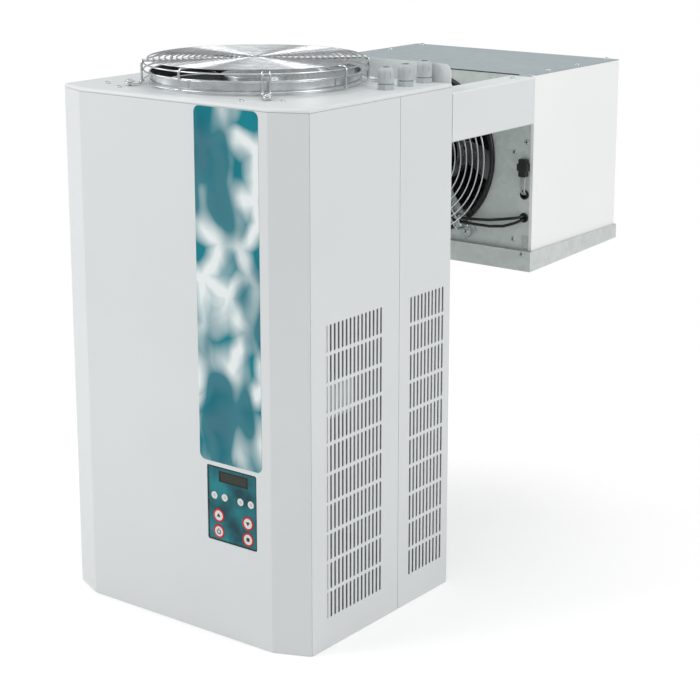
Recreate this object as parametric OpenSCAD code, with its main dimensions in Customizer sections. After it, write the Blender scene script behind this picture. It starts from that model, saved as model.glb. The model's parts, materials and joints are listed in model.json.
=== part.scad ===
// Monoblock refrigeration unit that straddles the wall of a small cold room.
// The condensing cabinet stands in front (-Y), the evaporator box hangs behind (+Y),
// and two arms join them over the wall. The origin is the centre of the cabinet's base.

/* [Cabinet] */
// Width of the cabinet
cab_w = 432; // [410:1:480]
// Depth of the cabinet, front face to wall face
cab_d = 341; // [336:1:380]
// Height of the cabinet
cab_h = 735; // [715:1:800]
// Thickness of the folded sheets
sheet = 1.2; // [0.8:0.1:1.6]
// Front chamfer, measured across the front
chamfer_w = 50; // [20:1:60]
// Front chamfer, measured along the side
chamfer_d = 22; // [14:1:40]
// Distance from the front face to the seam of the rear casing
hood_d = 217; // [212:1:228]
// Width of the seams between panels
seam = 0.8; // [0.4:0.1:1.2]
// Radius of the lid's folded edge
fold_r = 4; // [3:0.5:6]
// Height of the lid's skirt
skirt_h = 5; // [4:0.5:8]
// Depth of the front cover's inner returns
return_d = 40; // [24:1:46]
// Depth of the front cover's top flange
flange_d = 64; // [62:1:76]
// Height of the base tray's lip
tray_lip = 34; // [20:1:38]

/* [Side slots] */
// Length of a slot
slot_len = 37; // [30:1:39]
// Width of a slot
slot_w = 4; // [3:0.5:5]
// Distance between slot columns
slot_step_y = 8.5; // [7:0.1:8.6]
// Distance between slot rows
slot_step_z = 41.2; // [40:0.1:44]
// Number of slot rows
slot_rows = 10; // [4:1:12]
// Slot columns in each front side panel
slot_cols_front = 15; // [6:1:15]
// Slot columns in each side of the rear casing
slot_cols_rear = 10; // [4:1:10]
// Height of the lowest row's lower ends
slot_foot = 42.5; // [40:0.5:60]
// First column, measured from the front face
slot_front = 56; // [54:0.5:66]
// First column of the rear casing, measured from the front face
slot_rear = 245; // [243:0.5:246]

/* [Rear plate and arms] */
// Thickness of the rear plate
plate_t = 1.5; // [1:0.1:2.5]
// Height of the rear plate's upstand over the lid
upstand = 26; // [16:1:40]
// Depth of the rear plate below the lid
plate_drop = 270; // [262:1:290]
// Radius of the rear plate's corners
plate_corner = 12; // [4:1:20]
// Distance from the cabinet to the evaporator box
wall_gap = 216; // [160:1:300]
// Height of an arm
arm_h = 70; // [60:1:80]
// Width of an arm's flanges
arm_flange = 40; // [30:1:44]
// Thickness of an arm's sheet
arm_t = 1.5; // [1:0.1:2.5]
// Outer radius of an arm's folds
arm_fold = 3; // [2.6:0.2:5]
// Drop of the arms below the evaporator's top
arm_drop = 3; // [2:0.5:6]
// Width between the wall bolts
bolt_span_x = 360; // [300:1:372]
// Height between the wall bolts
bolt_span_z = 50; // [40:1:54]
// Radius of the wall bolt holes
bolt_hole_r = 4.5; // [3:0.25:6]

/* [Condenser fan and its guard] */
// Distance from the front face to the fan's axis
fan_from_front = 176; // [174:1:182]
// Inner radius of the collar
collar_r = 145; // [144:0.5:147]
// Rise of the collar over the lid
collar_rise = 20; // [16:1:22]
// Depth of the collar below the lid
collar_drop = 20; // [12:1:30]
// Height of the drawn step round the collar
step_h = 2.5; // [1.5:0.5:3]
// Outer radius of the drawn step
step_r = 161; // [158:0.5:162]
// Tip radius of the condenser fan
top_fan_r = 137.5; // [120:0.5:139]
// Number of blades of the condenser fan
top_blades = 5; // [3:1:7]
// Radius of the guard's side rings
guard_r = 154; // [151:0.5:155]
// Height of the guard's top rings over the lid
guard_h = 37; // [35:1:44]
// Radius of the guard's widest top ring
guard_top_r = 148.3; // [140:0.1:149]
// Radius of the guard's smallest top ring
guard_eye_r = 12; // [10:1:20]
// Number of the guard's top rings
guard_rings = 18; // [6:1:19]
// Diameter of the ring wire
ring_wire = 2.2; // [1.6:0.1:2.8]
// Diameter of the strut wire
strut_wire = 3.2; // [2.8:0.1:4]
// Distance of the guard's fixing screws from the fan's axis
foot_r = 173; // [172:0.5:176]
// Distance between the two wires of a double strut
pair_gap = 10; // [9:0.5:14]

/* [Fan motors] */
// Radius of the motors
motor_r = 42; // [34:1:44]
// Length of the condenser fan's motor
top_motor_h = 78; // [60:1:80]
// Length of the evaporator fan's motor
evap_motor_h = 52; // [40:1:54]
// Diameter of the fan shafts
shaft_d = 8; // [6:0.5:10]
// Radial clearance between shaft and motor
shaft_gap = 0.05; // [0.02:0.01:0.08]
// Radius of the fan hubs
hub_r = 49; // [47:0.5:54]
// Thickness of the hubs' sheet
hub_t = 1.5; // [1:0.1:2]

/* [Condenser coil] */
// Height of the coil's lower face
coil_floor = 560; // [555:1:565]
// Depth of the coil along Y
coil_d = 288; // [260:1:290]
// Height of the coil
coil_h = 60; // [50:1:64]
// Length of the coil's finned part along X
coil_w = 336; // [320:1:340]
// Number of the condenser's fins
coil_fins = 46; // [10:1:60]

/* [Compressor] */
// Radius of the shell
shell_r = 70; // [60:1:80]
// Height of the shell with its domes
shell_h = 186; // [150:1:210]
// Distance of the compressor's axis from the centre, to the left
shell_left = 62; // [50:1:70]
// Distance of the compressor's axis from the centre, to the front
shell_fore = 34; // [20:1:40]

/* [Control panel] */
// Width of the window in the front cover
window_w = 87; // [84:1:92]
// Height of the window
window_h = 106.5; // [104:0.5:112]
// Corner radius of the window
window_r = 3; // [1:0.5:5]
// Distance of the window's centre from the middle
window_x = 97.5; // [90:0.5:104]
// Height of the window's lower edge
window_foot = 137; // [120:0.5:160]
// Thickness of the faceplate
face_t = 2; // [1.5:0.1:3]
// Radius of the key caps
key_r = 9.7; // [8:0.1:9.9]
// Travel of the keys
key_travel = 1; // [0.6:0.1:1.4]
// Distance between the key columns
key_step_x = 51.5; // [40:0.5:54]
// Distance between the key rows
key_step_z = 22.8; // [22.4:0.1:25]

/* [Decor label] */
// Width of the label
label_w = 108.5; // [90:0.5:112]
// Height of the label
label_h = 479.5; // [440:0.5:480]
// Thickness of the label
label_t = 0.4; // [0.2:0.1:1]
// Corner radius of the label
label_r = 9; // [4:1:14]
// Height of the label's lower edge
label_foot = 249.5; // [245:0.5:249.5]

/* [Cable glands] */
// Distance of the glands from the middle
gland_x = 178; // [176:1:190]
// First gland, measured from the front face
gland_first = 236; // [234:1:238]
// Distance between the glands
gland_step = 45; // [36:0.5:45]
// Height of a gland over the lid
gland_h = 30; // [26:0.5:36]
// Radius of a gland's cap nut
gland_r = 10.8; // [10:0.1:12]
// Radius of the hole in a gland's seal
gland_bore = 3.5; // [2.5:0.25:5]

/* [Evaporator box] */
// Width of the evaporator box
evap_w = 390; // [376:1:420]
// Depth of the evaporator box
evap_d = 253; // [240:1:280]
// Height of the evaporator box
evap_h = 268; // [264:1:276]
// Height of the box's lower edge over the cabinet's base
evap_floor = 457; // [440:1:470]
// Width of the side panels' front returns
evap_return = 5; // [4:0.5:5.5]
// Tip radius of the evaporator fan
evap_fan_r = 115; // [100:0.5:116]
// Number of blades of the evaporator fan
evap_blades = 5; // [3:1:7]
// Inner radius of the fan's black ring
ring_r = 119; // [118:0.5:120]
// Distance of the evaporator's guard from the fan plate
evap_guard_out = 22; // [20:1:28]
// Number of the evaporator guard's rings
evap_rings = 10; // [4:1:11]
// Radius of the evaporator guard's smallest ring
evap_eye_r = 27; // [20:1:30]
// Turn of the evaporator guard's struts
strut_turn = 55; // [50:1:60]
// Radius of the evaporator guard's widest ring
evap_guard_r = 121.5; // [116:0.5:122]
// Distance of the evaporator guard's screws from the fan's axis
evap_foot_r = 141; // [140:0.5:143]

/* [Evaporator coil] */
// Depth of the coil along Y
evap_coil_d = 66; // [50:1:80]
// Length of the finned part along X
evap_coil_w = 330; // [316:1:332]
// Number of the evaporator's fins
evap_fins_n = 52; // [10:1:60]
// Outer diameter of the coil tubes
tube_d = 9.5; // [8:0.1:10.5]

/* [Drip tray] */
// Reach of the tray past the box's sides
tray_reach = 3.5; // [3:0.5:6]
// Reach of the tray in front of the box
tray_fore = 8; // [6:0.5:12]
// Reach of the tray behind the box
tray_aft = 3; // [2:0.5:5]
// Thickness of the tray's sheet
tray_t = 1; // [0.8:0.1:1.5]
// Depth of the tray at its front
tray_front_h = 31; // [26:1:40]
// Depth of the tray at its back
tray_back_h = 22; // [18:1:25]
// Overlap of the tray's rim with the box
tray_lap = 2; // [1:0.5:4]
// Outer radius of the drain spout
spout_r = 8; // [6:0.5:10]
// Length of the drain spout
spout_len = 32; // [20:1:40]

/* [Hidden] */

// Common fits
fit = 0.3;            // clearance between pieces that lie beside each other
hole_fit = 0.15;      // radial clearance of screws and tubes in their holes
over = 5;             // overrun of a cut past the face that it opens

// Places of the cabinet
front = -cab_d / 2;
back = cab_d / 2;
side = cab_w / 2;
seam_front = front + chamfer_d;
seam_rear = front + hood_d;
wall_top = cab_h - skirt_h - seam / 2;
casing_back = back - plate_t;
fan_y = front + fan_from_front;
disc_top = cab_h + step_h;

// Places of the evaporator box
evap_right = side;
evap_left = evap_right - evap_w;
evap_x = (evap_left + evap_right) / 2;
evap_front = back + wall_gap;
evap_back = evap_front + evap_d;
evap_roof = evap_floor + evap_h;
evap_fan_z = evap_floor + evap_h / 2;
fan_plate_y = evap_front + sheet + hole_fit;
arm_top = evap_roof - arm_drop;
arm_foot = arm_top - arm_h;

// Colours
white = "#dfe4e4";
shade_white = "#d3d9d9";
galvanised = "#aab4ae";
bright = "#c9cdd0";
black = "#1c1d1f";
copper = "#b4673a";
teal = "#1d7f8e";

// Screws
screw_d = 3.6;
screw_head_r = 4.2;
screw_head_h = 2.4;
screw_len = 9;
washer_r = 7;
washer_t = 1;
lid_screw_shares = [[0.46, 0.08], [0.67, 0.165], [-0.57, 0.097], [-0.76, 0.155]];
lid_screws = [
  for (q = lid_screw_shares) [q[0] * side, q[1] * cab_d]
];
evap_screw_in = 17;
evap_screw_shares = [0.26, 0.60, 0.96];

function unit(v) = v / norm(v);

// Outline of the cabinet in plan, drawn in by i, with its rear edge at y = rear.
function plan(i, rear) =
  let (
    run = norm([chamfer_w, chamfer_d]),
    x_in = side - chamfer_w - i * (run - chamfer_w) / chamfer_d,
    y_in = front + chamfer_d + i * (run - chamfer_d) / chamfer_w
  )
  [
    [side - i, rear], [-side + i, rear], [-side + i, y_in],
    [-x_in, front + i], [x_in, front + i], [side - i, y_in]
  ];

// A straight cuboid between two corners.
module block(lo, hi) {
  translate(lo) cube(hi - lo);
}

// Extrudes an (x, z) outline from y to y + t.
module facing(y, t) {
  translate([0, y + t, 0]) rotate([90, 0, 0]) linear_extrude(t) children();
}

// Extrudes a (y, z) outline from x to x + t.
module sideways(x, t) {
  translate([x, 0, 0]) rotate([90, 0, 90]) linear_extrude(t) children();
}

// Flat rectangle with round corners, from lo to hi.
module rounded(lo, hi, r) {
  translate([lo[0] + r, lo[1]]) square([hi[0] - lo[0] - 2 * r, hi[1] - lo[1]]);
  translate([lo[0], lo[1] + r]) square([hi[0] - lo[0], hi[1] - lo[1] - 2 * r]);
  for (x = [lo[0] + r, hi[0] - r], y = [lo[1] + r, hi[1] - r])
    translate([x, y]) circle(r, $fn = 48);
}

// Upright slot with round ends, standing on the origin.
module slot() {
  r = slot_w / 2;
  translate([-r, r]) square([slot_w, slot_len - slot_w]);
  for (z = [r, slot_len - r]) translate([0, z]) circle(r, $fn = 24);
}

// Field of slots whose first column stands at y.
module slots(y, columns) {
  for (c = [0:columns - 1], r = [0:slot_rows - 1])
    translate([y + c * slot_step_y, slot_foot + r * slot_step_z]) slot();
}

// Skin of a closed outline that shrinks as it rises: one ring of points a level.
module loft(rings) {
  n = len(rings[0]);
  last = len(rings) - 1;
  points = [for (ring = rings) each ring];
  walls = [
    for (k = [0:last - 1], j = [0:n - 1])
      [k * n + j, (k + 1) * n + j, (k + 1) * n + (j + 1) % n, k * n + (j + 1) % n]
  ];
  polyhedron(
    points,
    concat([[for (j = [0:n - 1]) j]], walls, [[for (j = [n - 1:-1:0]) last * n + j]]),
    convexity = 4
  );
}

// The lid's outer form: upright skirt, quarter-round fold and flat top.
fold_steps = 5;
module lid_form(i, r, foot) {
  rear = casing_back - fit - i;
  loft([
    for (p = concat(
      [[i, foot]],
      [for (k = [0:fold_steps]) let (a = 90 * k / fold_steps)
        [i + r * (1 - cos(a)), cab_h - i - r * (1 - sin(a))]]
    ))
      [for (q = plan(p[0], rear)) [q[0], q[1], p[1]]]
  ]);
}

// Tube that follows points: round corners, then rings carried along without twist.
function turned(pts, bend, steps) = [
  for (i = [0:len(pts) - 1])
    each (i == 0 || i == len(pts) - 1) ? [pts[i]] :
    let (
      a = unit(pts[i - 1] - pts[i]),
      b = unit(pts[i + 1] - pts[i]),
      reach = min(bend / tan(acos(max(-1, min(1, a * b))) / 2),
                  norm(pts[i - 1] - pts[i]) / 2, norm(pts[i + 1] - pts[i]) / 2)
    )
    [for (k = [0:steps]) let (t = k / steps)
      pts[i] + reach * ((1 - t) * (1 - t) * a + t * t * b)]
];
function headings(p) = [
  for (i = [0:len(p) - 1]) unit(p[min(i + 1, len(p) - 1)] - p[max(i - 1, 0)])
];
function square_to(t) = unit(cross(t, abs(t[2]) < 0.9 ? [0, 0, 1] : [1, 0, 0]));
function carried(t) = [
  for (i = 0, n = square_to(t[0]); i < len(t);
       i = i + 1, n = i < len(t) ? unit(n - (n * t[i]) * t[i]) : n) n
];
module swept(p, d, sides) {
  t = headings(p);
  n = carried(t);
  last = len(p) - 1;
  points = [
    for (i = [0:last], j = [0:sides - 1])
      let (a = 360 * j / sides)
      p[i] + d / 2 * (cos(a) * n[i] + sin(a) * cross(t[i], n[i]))
  ];
  walls = [
    for (i = [0:last - 1], j = [0:sides - 1])
      let (q = (j + 1) % sides)
      each [
        [i * sides + j, (i + 1) * sides + j, (i + 1) * sides + q],
        [i * sides + j, (i + 1) * sides + q, i * sides + q]
      ]
  ];
  polyhedron(
    points,
    concat([[for (j = [0:sides - 1]) j]], walls, [[for (j = [sides - 1:-1:0]) last * sides + j]]),
    convexity = 6
  );
}

// Places of screws on the evaporator's top, and on its fan plate.
evap_top_screws = [
  for (x = [evap_left + evap_screw_in, evap_right - evap_screw_in], s = evap_screw_shares)
    [x, evap_front + s * evap_d]
];
plate_screw_in = 12;
plate_screw_inner = 33;
plate_screw_z = 17;
plate_screw_rise = 167;
plate_screws = [
  for (s = [-1, 1])
    each [
      [evap_x + s * (evap_w / 2 - plate_screw_in), evap_floor + plate_screw_rise],
      [evap_x + s * (evap_w / 2 - plate_screw_inner), evap_floor + plate_screw_rise - plate_screw_z],
      [evap_x + s * (evap_w / 2 - plate_screw_inner), evap_floor + plate_screw_z]
    ]
];

// Pan-head screw; the head's profile is a table of shares of its radius and its height.
pan_shares = [[1, 0], [1, 0.4], [0.72, 0.85], [0.3, 1], [0, 1]];
module screw() {
  rotate_extrude($fn = 40) polygon(concat(
    [[0, -screw_len], [screw_d / 2, -screw_len], [screw_d / 2, 0]],
    [for (q = pan_shares) [q[0] * screw_head_r, q[1] * screw_head_h]]
  ));
}

module screw_hole(depth) {
  translate([0, 0, -depth]) cylinder(h = 2 * depth, d = screw_d + 2 * hole_fit, $fn = 32);
}

// The cabinet's pan, open at the top, with studs that hold the compressor's rubber feet.
tray_in = 2 * (sheet + fit);
foot_span = 128;
grommet_h = 17;
stud_d = 6;
shell_x = -shell_left;
shell_y = -shell_fore;
foot_places = [for (x = [-1, 1], y = [-1, 1]) [shell_x + x * foot_span / 2, shell_y + y * foot_span / 2]];
module base_tray() {
  rear = casing_back - sheet - fit;
  color(galvanised) {
    difference() {
      linear_extrude(tray_lip) polygon(plan(tray_in, rear));
      translate([0, 0, sheet]) linear_extrude(tray_lip) polygon(plan(tray_in + sheet, rear - sheet));
    }
    for (p = foot_places)
      translate([p[0], p[1], sheet / 2]) cylinder(h = grommet_h + stud_d * 2, d = stud_d, $fn = 32);
  }
}

// Screw holes round the condenser fan, at height z.
foot_angles = [45, 135, 225, 315];
module guard_holes(z) {
  for (a = foot_angles) translate([0, fan_y, z]) rotate([0, 0, a]) translate([foot_r, 0, 0]) screw_hole(over);
}

// Folded front: face, chamfers, inner returns behind the side panels and a flange under the lid.
flange_clear = 3;
module front_cover() {
  inner = side - 2 * sheet - fit;
  color(white) difference() {
    union() {
      linear_extrude(wall_top) intersection() {
        difference() {
          polygon(plan(0, back));
          polygon(plan(sheet, back + over));
        }
        translate([-side, front]) square([cab_w, chamfer_d]);
      }
      linear_extrude(wall_top - sheet) intersection() {
        polygon(plan(0, back));
        for (s = [0, 1]) mirror([s, 0])
          translate([inner, seam_front - seam]) square([sheet, return_d]);
      }
      translate([0, 0, wall_top - sheet]) linear_extrude(sheet) difference() {
        polygon(plan(sheet / 2, front + flange_d));
        for (s = [0, 1]) mirror([s, 0])
          translate([side - sheet - fit, seam_front]) square([cab_w, cab_d]);
        translate([0, fan_y]) circle(step_r + flange_clear, $fn = 96);
      }
    }
    facing(front - over, sheet + 2 * over)
      rounded([window_x - window_w / 2, window_foot],
              [window_x + window_w / 2, window_foot + window_h], window_r);
    for (p = lid_screws) translate([p[0], front + p[1], wall_top]) screw_hole(over);
    guard_holes(wall_top);
  }
}

// Side panel with its field of slots and a folded edge at the seam of the rear casing.
module side_panel() {
  lip = 14;
  foremost = seam_front + seam;
  color(shade_white) union() {
    sideways(side - sheet, sheet) difference() {
      translate([foremost, 0]) square([seam_rear - seam / 2 - foremost, wall_top]);
      slots(front + slot_front, slot_cols_front);
    }
    block([side - lip, seam_rear - seam / 2 - sheet, tray_lip + fit],
          [side - sheet / 2, seam_rear - seam / 2, wall_top]);
  }
}
module side_panel_right() { side_panel(); }
module side_panel_left() { mirror([1, 0, 0]) side_panel(); }

// Rear casing: two slotted sides and the back wall in one fold.
pipe_hole_r = 24;
pipe_in = 72;
pipe_x = evap_left + pipe_in;
pipe_z = arm_foot + arm_h / 2;
module wall_bolt_holes(y, t) {
  for (x = [-1, 1], z = [0, 1])
    translate([x * bolt_span_x / 2, y - over, bolt_foot + z * bolt_span_z])
      rotate([-90, 0, 0]) cylinder(h = t + 2 * over, r = bolt_hole_r, $fn = 40);
}
module rear_casing() {
  run = casing_back - seam_rear - seam / 2;
  color(shade_white) difference() {
    union() {
      for (s = [0, 1]) mirror([s, 0, 0])
        sideways(side - sheet, sheet) difference() {
          translate([seam_rear + seam / 2, 0]) square([run, wall_top]);
          slots(front + slot_rear, slot_cols_rear);
        }
      block([-side, casing_back - sheet, 0], [side, casing_back, wall_top]);
    }
    wall_bolt_holes(casing_back - sheet, sheet);
    translate([pipe_x, casing_back - over, pipe_z])
      rotate([-90, 0, 0]) cylinder(h = 2 * over, r = pipe_hole_r, $fn = 64);
  }
}

// Plate behind the casing that carries the arms and stands up behind the glands.
plate_in = 3;
plate_foot = cab_h - plate_drop;
bolt_in = 24;
bolt_foot = plate_foot + bolt_in;
module rear_plate() {
  color(shade_white) difference() {
    facing(casing_back, plate_t)
      rounded([-side + plate_in, plate_foot], [side - plate_in, cab_h + upstand], plate_corner);
    wall_bolt_holes(casing_back, plate_t);
    translate([pipe_x, casing_back - over, pipe_z])
      rotate([-90, 0, 0]) cylinder(h = 2 * over, r = pipe_hole_r, $fn = 64);
  }
}

// Lid with folded edges and a drawn disc that carries the collar.
collar_wall = 1.2;
hole_r = collar_r + collar_wall + fit;
step_run = 4;
gland_hole_r = 9.6;
gland_places = [for (k = [0:2]) [gland_x, front + gland_first + k * gland_step]];
module top_panel() {
  color(white) union() {
    difference() {
      lid_form(0, fold_r, cab_h - skirt_h);
      lid_form(sheet, fold_r - sheet, cab_h - skirt_h - over);
      translate([0, fan_y, cab_h - 2 * over]) cylinder(h = 4 * over, r = step_r, $fn = 128);
      for (p = lid_screws) translate([p[0], front + p[1], cab_h]) screw_hole(over);
      for (p = gland_places)
        translate([p[0], p[1], cab_h - over]) cylinder(h = 2 * over, r = gland_hole_r + hole_fit, $fn = 48);
      guard_holes(cab_h);
    }
    translate([0, fan_y, 0]) rotate_extrude($fn = 128) polygon([
      [hole_r, disc_top - sheet], [step_r - step_run, disc_top - sheet],
      [step_r, cab_h - sheet], [step_r + sheet, cab_h - sheet], [step_r + sheet, cab_h],
      [step_r, cab_h], [step_r - step_run, disc_top], [hole_r, disc_top]
    ]);
  }
}

// Ring that guides the air through the lid: rolled lip, upright wall and fixing flange.
collar_flange = 11;
collar_lip = 2.4;
module collar_profile() {
  top = cab_h + collar_rise;
  under = disc_top - sheet;
  translate([collar_r, cab_h - collar_drop]) square([collar_wall, collar_rise + collar_drop - collar_lip / 2]);
  translate([collar_r + collar_wall / 2, top - collar_lip / 2]) circle(d = collar_lip, $fn = 32);
  translate([collar_r, under - sheet]) square([collar_flange, sheet]);
}
module fan_collar() {
  color(bright) translate([0, fan_y, 0]) rotate_extrude($fn = 128) collar_profile();
}

// Wire ring, straight wire and bent wire, from which both guards are welded.
weld = 0.3;
wire_sides = 12;
module wire_ring(r, z, d) {
  translate([0, 0, z]) rotate_extrude($fn = 128) translate([r, 0]) circle(d = d, $fn = wire_sides);
}
module wire_rod(length, d) {
  cylinder(h = length, d = d, $fn = 24);
}
module wire_bend(r, angle, d) {
  rotate_extrude(angle = angle, $fn = 96) translate([r, 0]) circle(d = d, $fn = 24);
}

// One strut: along the top rings, round a bend, down the side, and optionally out to a foot.
module strut(reach, top, foot, inner, bend, d, toe) {
  translate([inner, 0, top]) rotate([0, 90, 0]) wire_rod(reach - bend - inner, d);
  translate([reach - bend, 0, top - bend]) rotate([90, 0, 0]) wire_bend(bend, 90, d);
  translate([reach, 0, foot + (toe > 0 ? bend : 0)])
    wire_rod(top - bend - foot - (toe > 0 ? bend : 0), d);
  if (toe > 0) {
    translate([reach + bend, 0, foot + bend]) rotate([90, 0, 180]) mirror([0, 1, 0]) wire_bend(bend, 90, d);
    translate([reach + bend, 0, foot]) rotate([0, 90, 0]) wire_rod(toe - reach - bend, d);
  }
}

// Two struts side by side whose feet join in a loop round the screw.
module strut_pair(reach, top, foot, inner, bend, d, toe, gap) {
  for (s = [-1, 1]) translate([0, s * gap / 2, 0]) strut(reach, top, foot, inner, bend, d, toe);
  translate([toe, 0, foot]) rotate([0, 0, -90]) wire_bend(gap / 2, 180, d);
}

level_shares = [0.19, 0.59, 0.85];
guard_bend = 5;
guard_top = cab_h + guard_h;
strut_reach = guard_r + (ring_wire + strut_wire) / 2 - weld;
strut_top = guard_top - (ring_wire + strut_wire) / 2 + weld;
strut_foot = disc_top + strut_wire / 2;
eye_in = 3;
module top_guard() {
  step = (guard_top_r - guard_eye_r) / (guard_rings - 1);
  single_foot = cab_h + level_shares[0] * guard_h - ring_wire;
  color(bright) translate([0, fan_y, 0]) union() {
    for (s = level_shares) wire_ring(guard_r, cab_h + s * guard_h, ring_wire);
    for (k = [0:guard_rings - 1]) wire_ring(guard_eye_r + k * step, guard_top, ring_wire);
    for (a = [0:90:270]) rotate([0, 0, a])
      strut(strut_reach, strut_top, single_foot, guard_eye_r - eye_in, guard_bend, strut_wire, 0);
    for (a = foot_angles) rotate([0, 0, a])
      strut_pair(strut_reach, strut_top, strut_foot, guard_eye_r + step - eye_in, guard_bend, strut_wire,
                 foot_r, pair_gap);
  }
}

// Washer-head screws that clamp the feet of both guards.
module washer_screw(stack) {
  top = stack + washer_t + screw_head_h;
  bevel = screw_head_h / 2;
  rotate_extrude($fn = 40) polygon([
    [0, -screw_len], [screw_d / 2, -screw_len], [screw_d / 2, stack],
    [washer_r, stack], [washer_r, stack + washer_t], [screw_head_r, stack + washer_t],
    [screw_head_r, top - bevel], [screw_head_r - bevel, top], [0, top]
  ]);
}
strap_t = 2;
strap_w = 28;
module guard_screws() {
  color(bright) {
    for (a = foot_angles)
      translate([0, fan_y, cab_h]) rotate([0, 0, a]) translate([foot_r, 0, 0]) washer_screw(step_h + strut_wire);
    translate([evap_x, fan_plate_y - strap_t, evap_fan_z]) for (k = [0:3])
      rotate([0, strut_turn + 90 * k, 0]) translate([evap_foot_r, 0, 0]) rotate([90, 0, 0]) washer_screw(strut_wire);
  }
}

// Fan motor, standing on its flat face, with a blind bore for the shaft and cooling ribs.
motor_edge = 5;
motor_ribs = 12;
rib_w = 2;
rib_d = 1.5;
shaft_depth = 30;
module motor(h) {
  color(black) difference() {
    rotate_extrude($fn = 64) polygon([
      [0, 0], [motor_r - motor_edge, 0], [motor_r, motor_edge], [motor_r, h - motor_edge],
      [motor_r - motor_edge, h], [0, h]
    ]);
    translate([0, 0, h - shaft_depth]) cylinder(h = shaft_depth + over, d = shaft_d + 2 * shaft_gap, $fn = 48);
    for (k = [0:motor_ribs - 1]) rotate([0, 0, 360 * k / motor_ribs])
      translate([motor_r - rib_d, -rib_w / 2, 2 * motor_edge]) cube([2 * rib_d, rib_w, h - 4 * motor_edge]);
  }
}

// Bladed fan: the hub's cup opens towards -Z over the motor, and the shaft hangs inside it.
shaft_play = 2;
cup_gap = 3;
blade_t = 1.2;
blade_root = 2;
root_pitch = 36;
tip_pitch = 24;
root_chord_share = 0.42;
tip_chord_share = 0.66;
blade_rake = 14;
blade_camber_share = 0.07;
blade_round_share = 0.12;
blade_spans = 7;
blade_cuts = 8;
module blade(tip) {
  start = hub_r - blade_root;
  points = [
    for (i = [0:blade_spans], j = [0:2 * blade_cuts - 1])
      let (
        s = i / blade_spans,
        upper = j < blade_cuts,
        u = 0.5 - (upper ? j : 2 * blade_cuts - 1 - j) / (blade_cuts - 1),
        r = start + s * (tip - start),
        pitch = root_pitch + s * (tip_pitch - root_pitch),
        chord = tip * (root_chord_share + (tip_chord_share - root_chord_share) * sin(90 * s)),
        c = u * chord * (1 - blade_round_share * s * s),
        hump = blade_camber_share * chord * (1 - 4 * u * u) + (upper ? blade_t / 2 : -blade_t / 2),
        along = c * cos(pitch) - hump * sin(pitch),
        rise = c * sin(pitch) + hump * cos(pitch),
        a = along / r * 180 / PI + blade_rake * s
      )
      [r * cos(a), r * sin(a), rise]
  ];
  n = 2 * blade_cuts;
  last = blade_spans;
  walls = [
    for (i = [0:last - 1], j = [0:n - 1])
      let (q = (j + 1) % n)
      each [
        [i * n + j, (i + 1) * n + j, (i + 1) * n + q],
        [i * n + j, (i + 1) * n + q, i * n + q]
      ]
  ];
  ends = [
    for (j = [0:blade_cuts - 2])
      each [
        [j, j + 1, n - 1 - j], [j + 1, n - 2 - j, n - 1 - j],
        [last * n + j + 1, last * n + j, last * n + n - 1 - j],
        [last * n + n - 2 - j, last * n + j + 1, last * n + n - 1 - j]
      ]
  ];
  polyhedron(points, concat(walls, ends), convexity = 4);
}
module fan(tip, blades, depth) {
  color(bright) union() {
    rotate_extrude($fn = 96) polygon([
      [0, 0], [hub_r, 0], [hub_r, -depth], [hub_r - hub_t, -depth], [hub_r - hub_t, -hub_t], [0, -hub_t]
    ]);
    translate([0, 0, -hub_t / 2 - shaft_depth + shaft_play - cup_gap])
      cylinder(h = shaft_depth - shaft_play + cup_gap, d = shaft_d, $fn = 48);
    for (k = [0:blades - 1])
      translate([0, 0, -depth / 2]) rotate([0, 0, 360 * k / blades]) blade(tip);
  }
}

// Condenser fan, its motor and the strap cross that hangs it from the collar's flange.
cup_depth = 34;
cup_rise = 15;
top_cup = cab_h + cup_rise;
top_motor_foot = top_cup - hub_t - cup_gap - top_motor_h;
module top_fan() {
  translate([0, fan_y, top_cup]) fan(top_fan_r, top_blades, cup_depth);
}
module top_fan_motor() {
  translate([0, fan_y, top_motor_foot]) motor(top_motor_h);
}
hanger_r = collar_r + collar_wall + 2 * fit;
module top_motor_bracket() {
  top = disc_top - 2 * sheet;
  foot = top_motor_foot - strap_t;
  color(galvanised) translate([0, fan_y, 0]) union() {
    translate([0, 0, foot]) cylinder(h = strap_t, r = motor_r - motor_edge, $fn = 64);
    for (a = [0:90:270]) rotate([0, 0, a]) {
      block([0, -strap_w / 2, foot], [hanger_r + strap_t, strap_w / 2, foot + strap_t]);
      block([hanger_r, -strap_w / 2, foot], [hanger_r + strap_t, strap_w / 2, top]);
      block([hanger_r, -strap_w / 2, top - strap_t], [collar_r + collar_flange, strap_w / 2, top]);
    }
  }
}

// Coil tubes on a grid: straight runs along X, joined by U-bends at alternate ends.
module u_bend(p, q, x, face, d) {
  gap = norm(q - p);
  mid = (p + q) / 2;
  upright = abs(q[1] - p[1]) > abs(q[0] - p[0]);
  translate([x, mid[0], mid[1]]) mirror([face < 0 ? 1 : 0, 0, 0])
    rotate(upright ? [-90, 0, 0] : [180, 0, 90]) rotate([0, 0, upright ? -90 : 0])
      rotate_extrude(angle = 180, $fn = 64) translate([gap / 2, 0]) circle(d = d, $fn = 32);
}
module coil_tubes(cells, x0, x1, d, stub) {
  last = len(cells) - 1;
  color(copper) union() {
    for (k = [0:last]) {
      lo = x0 - (k == 0 ? stub : 0);
      hi = x1 + (k == last && last % 2 == 0 ? stub : 0);
      lead = k == last && last % 2 == 1 ? stub : 0;
      translate([lo - lead, cells[k][0], cells[k][1]]) rotate([0, 90, 0]) cylinder(h = hi - lo + lead, d = d, $fn = 32);
    }
    for (k = [0:last - 1])
      u_bend(cells[k], cells[k + 1], k % 2 == 0 ? x1 : x0, k % 2 == 0 ? 1 : -1, d);
  }
}
module coil_holes(cells, r) {
  for (p = cells) translate(p) circle(r, $fn = 32);
}

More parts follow.
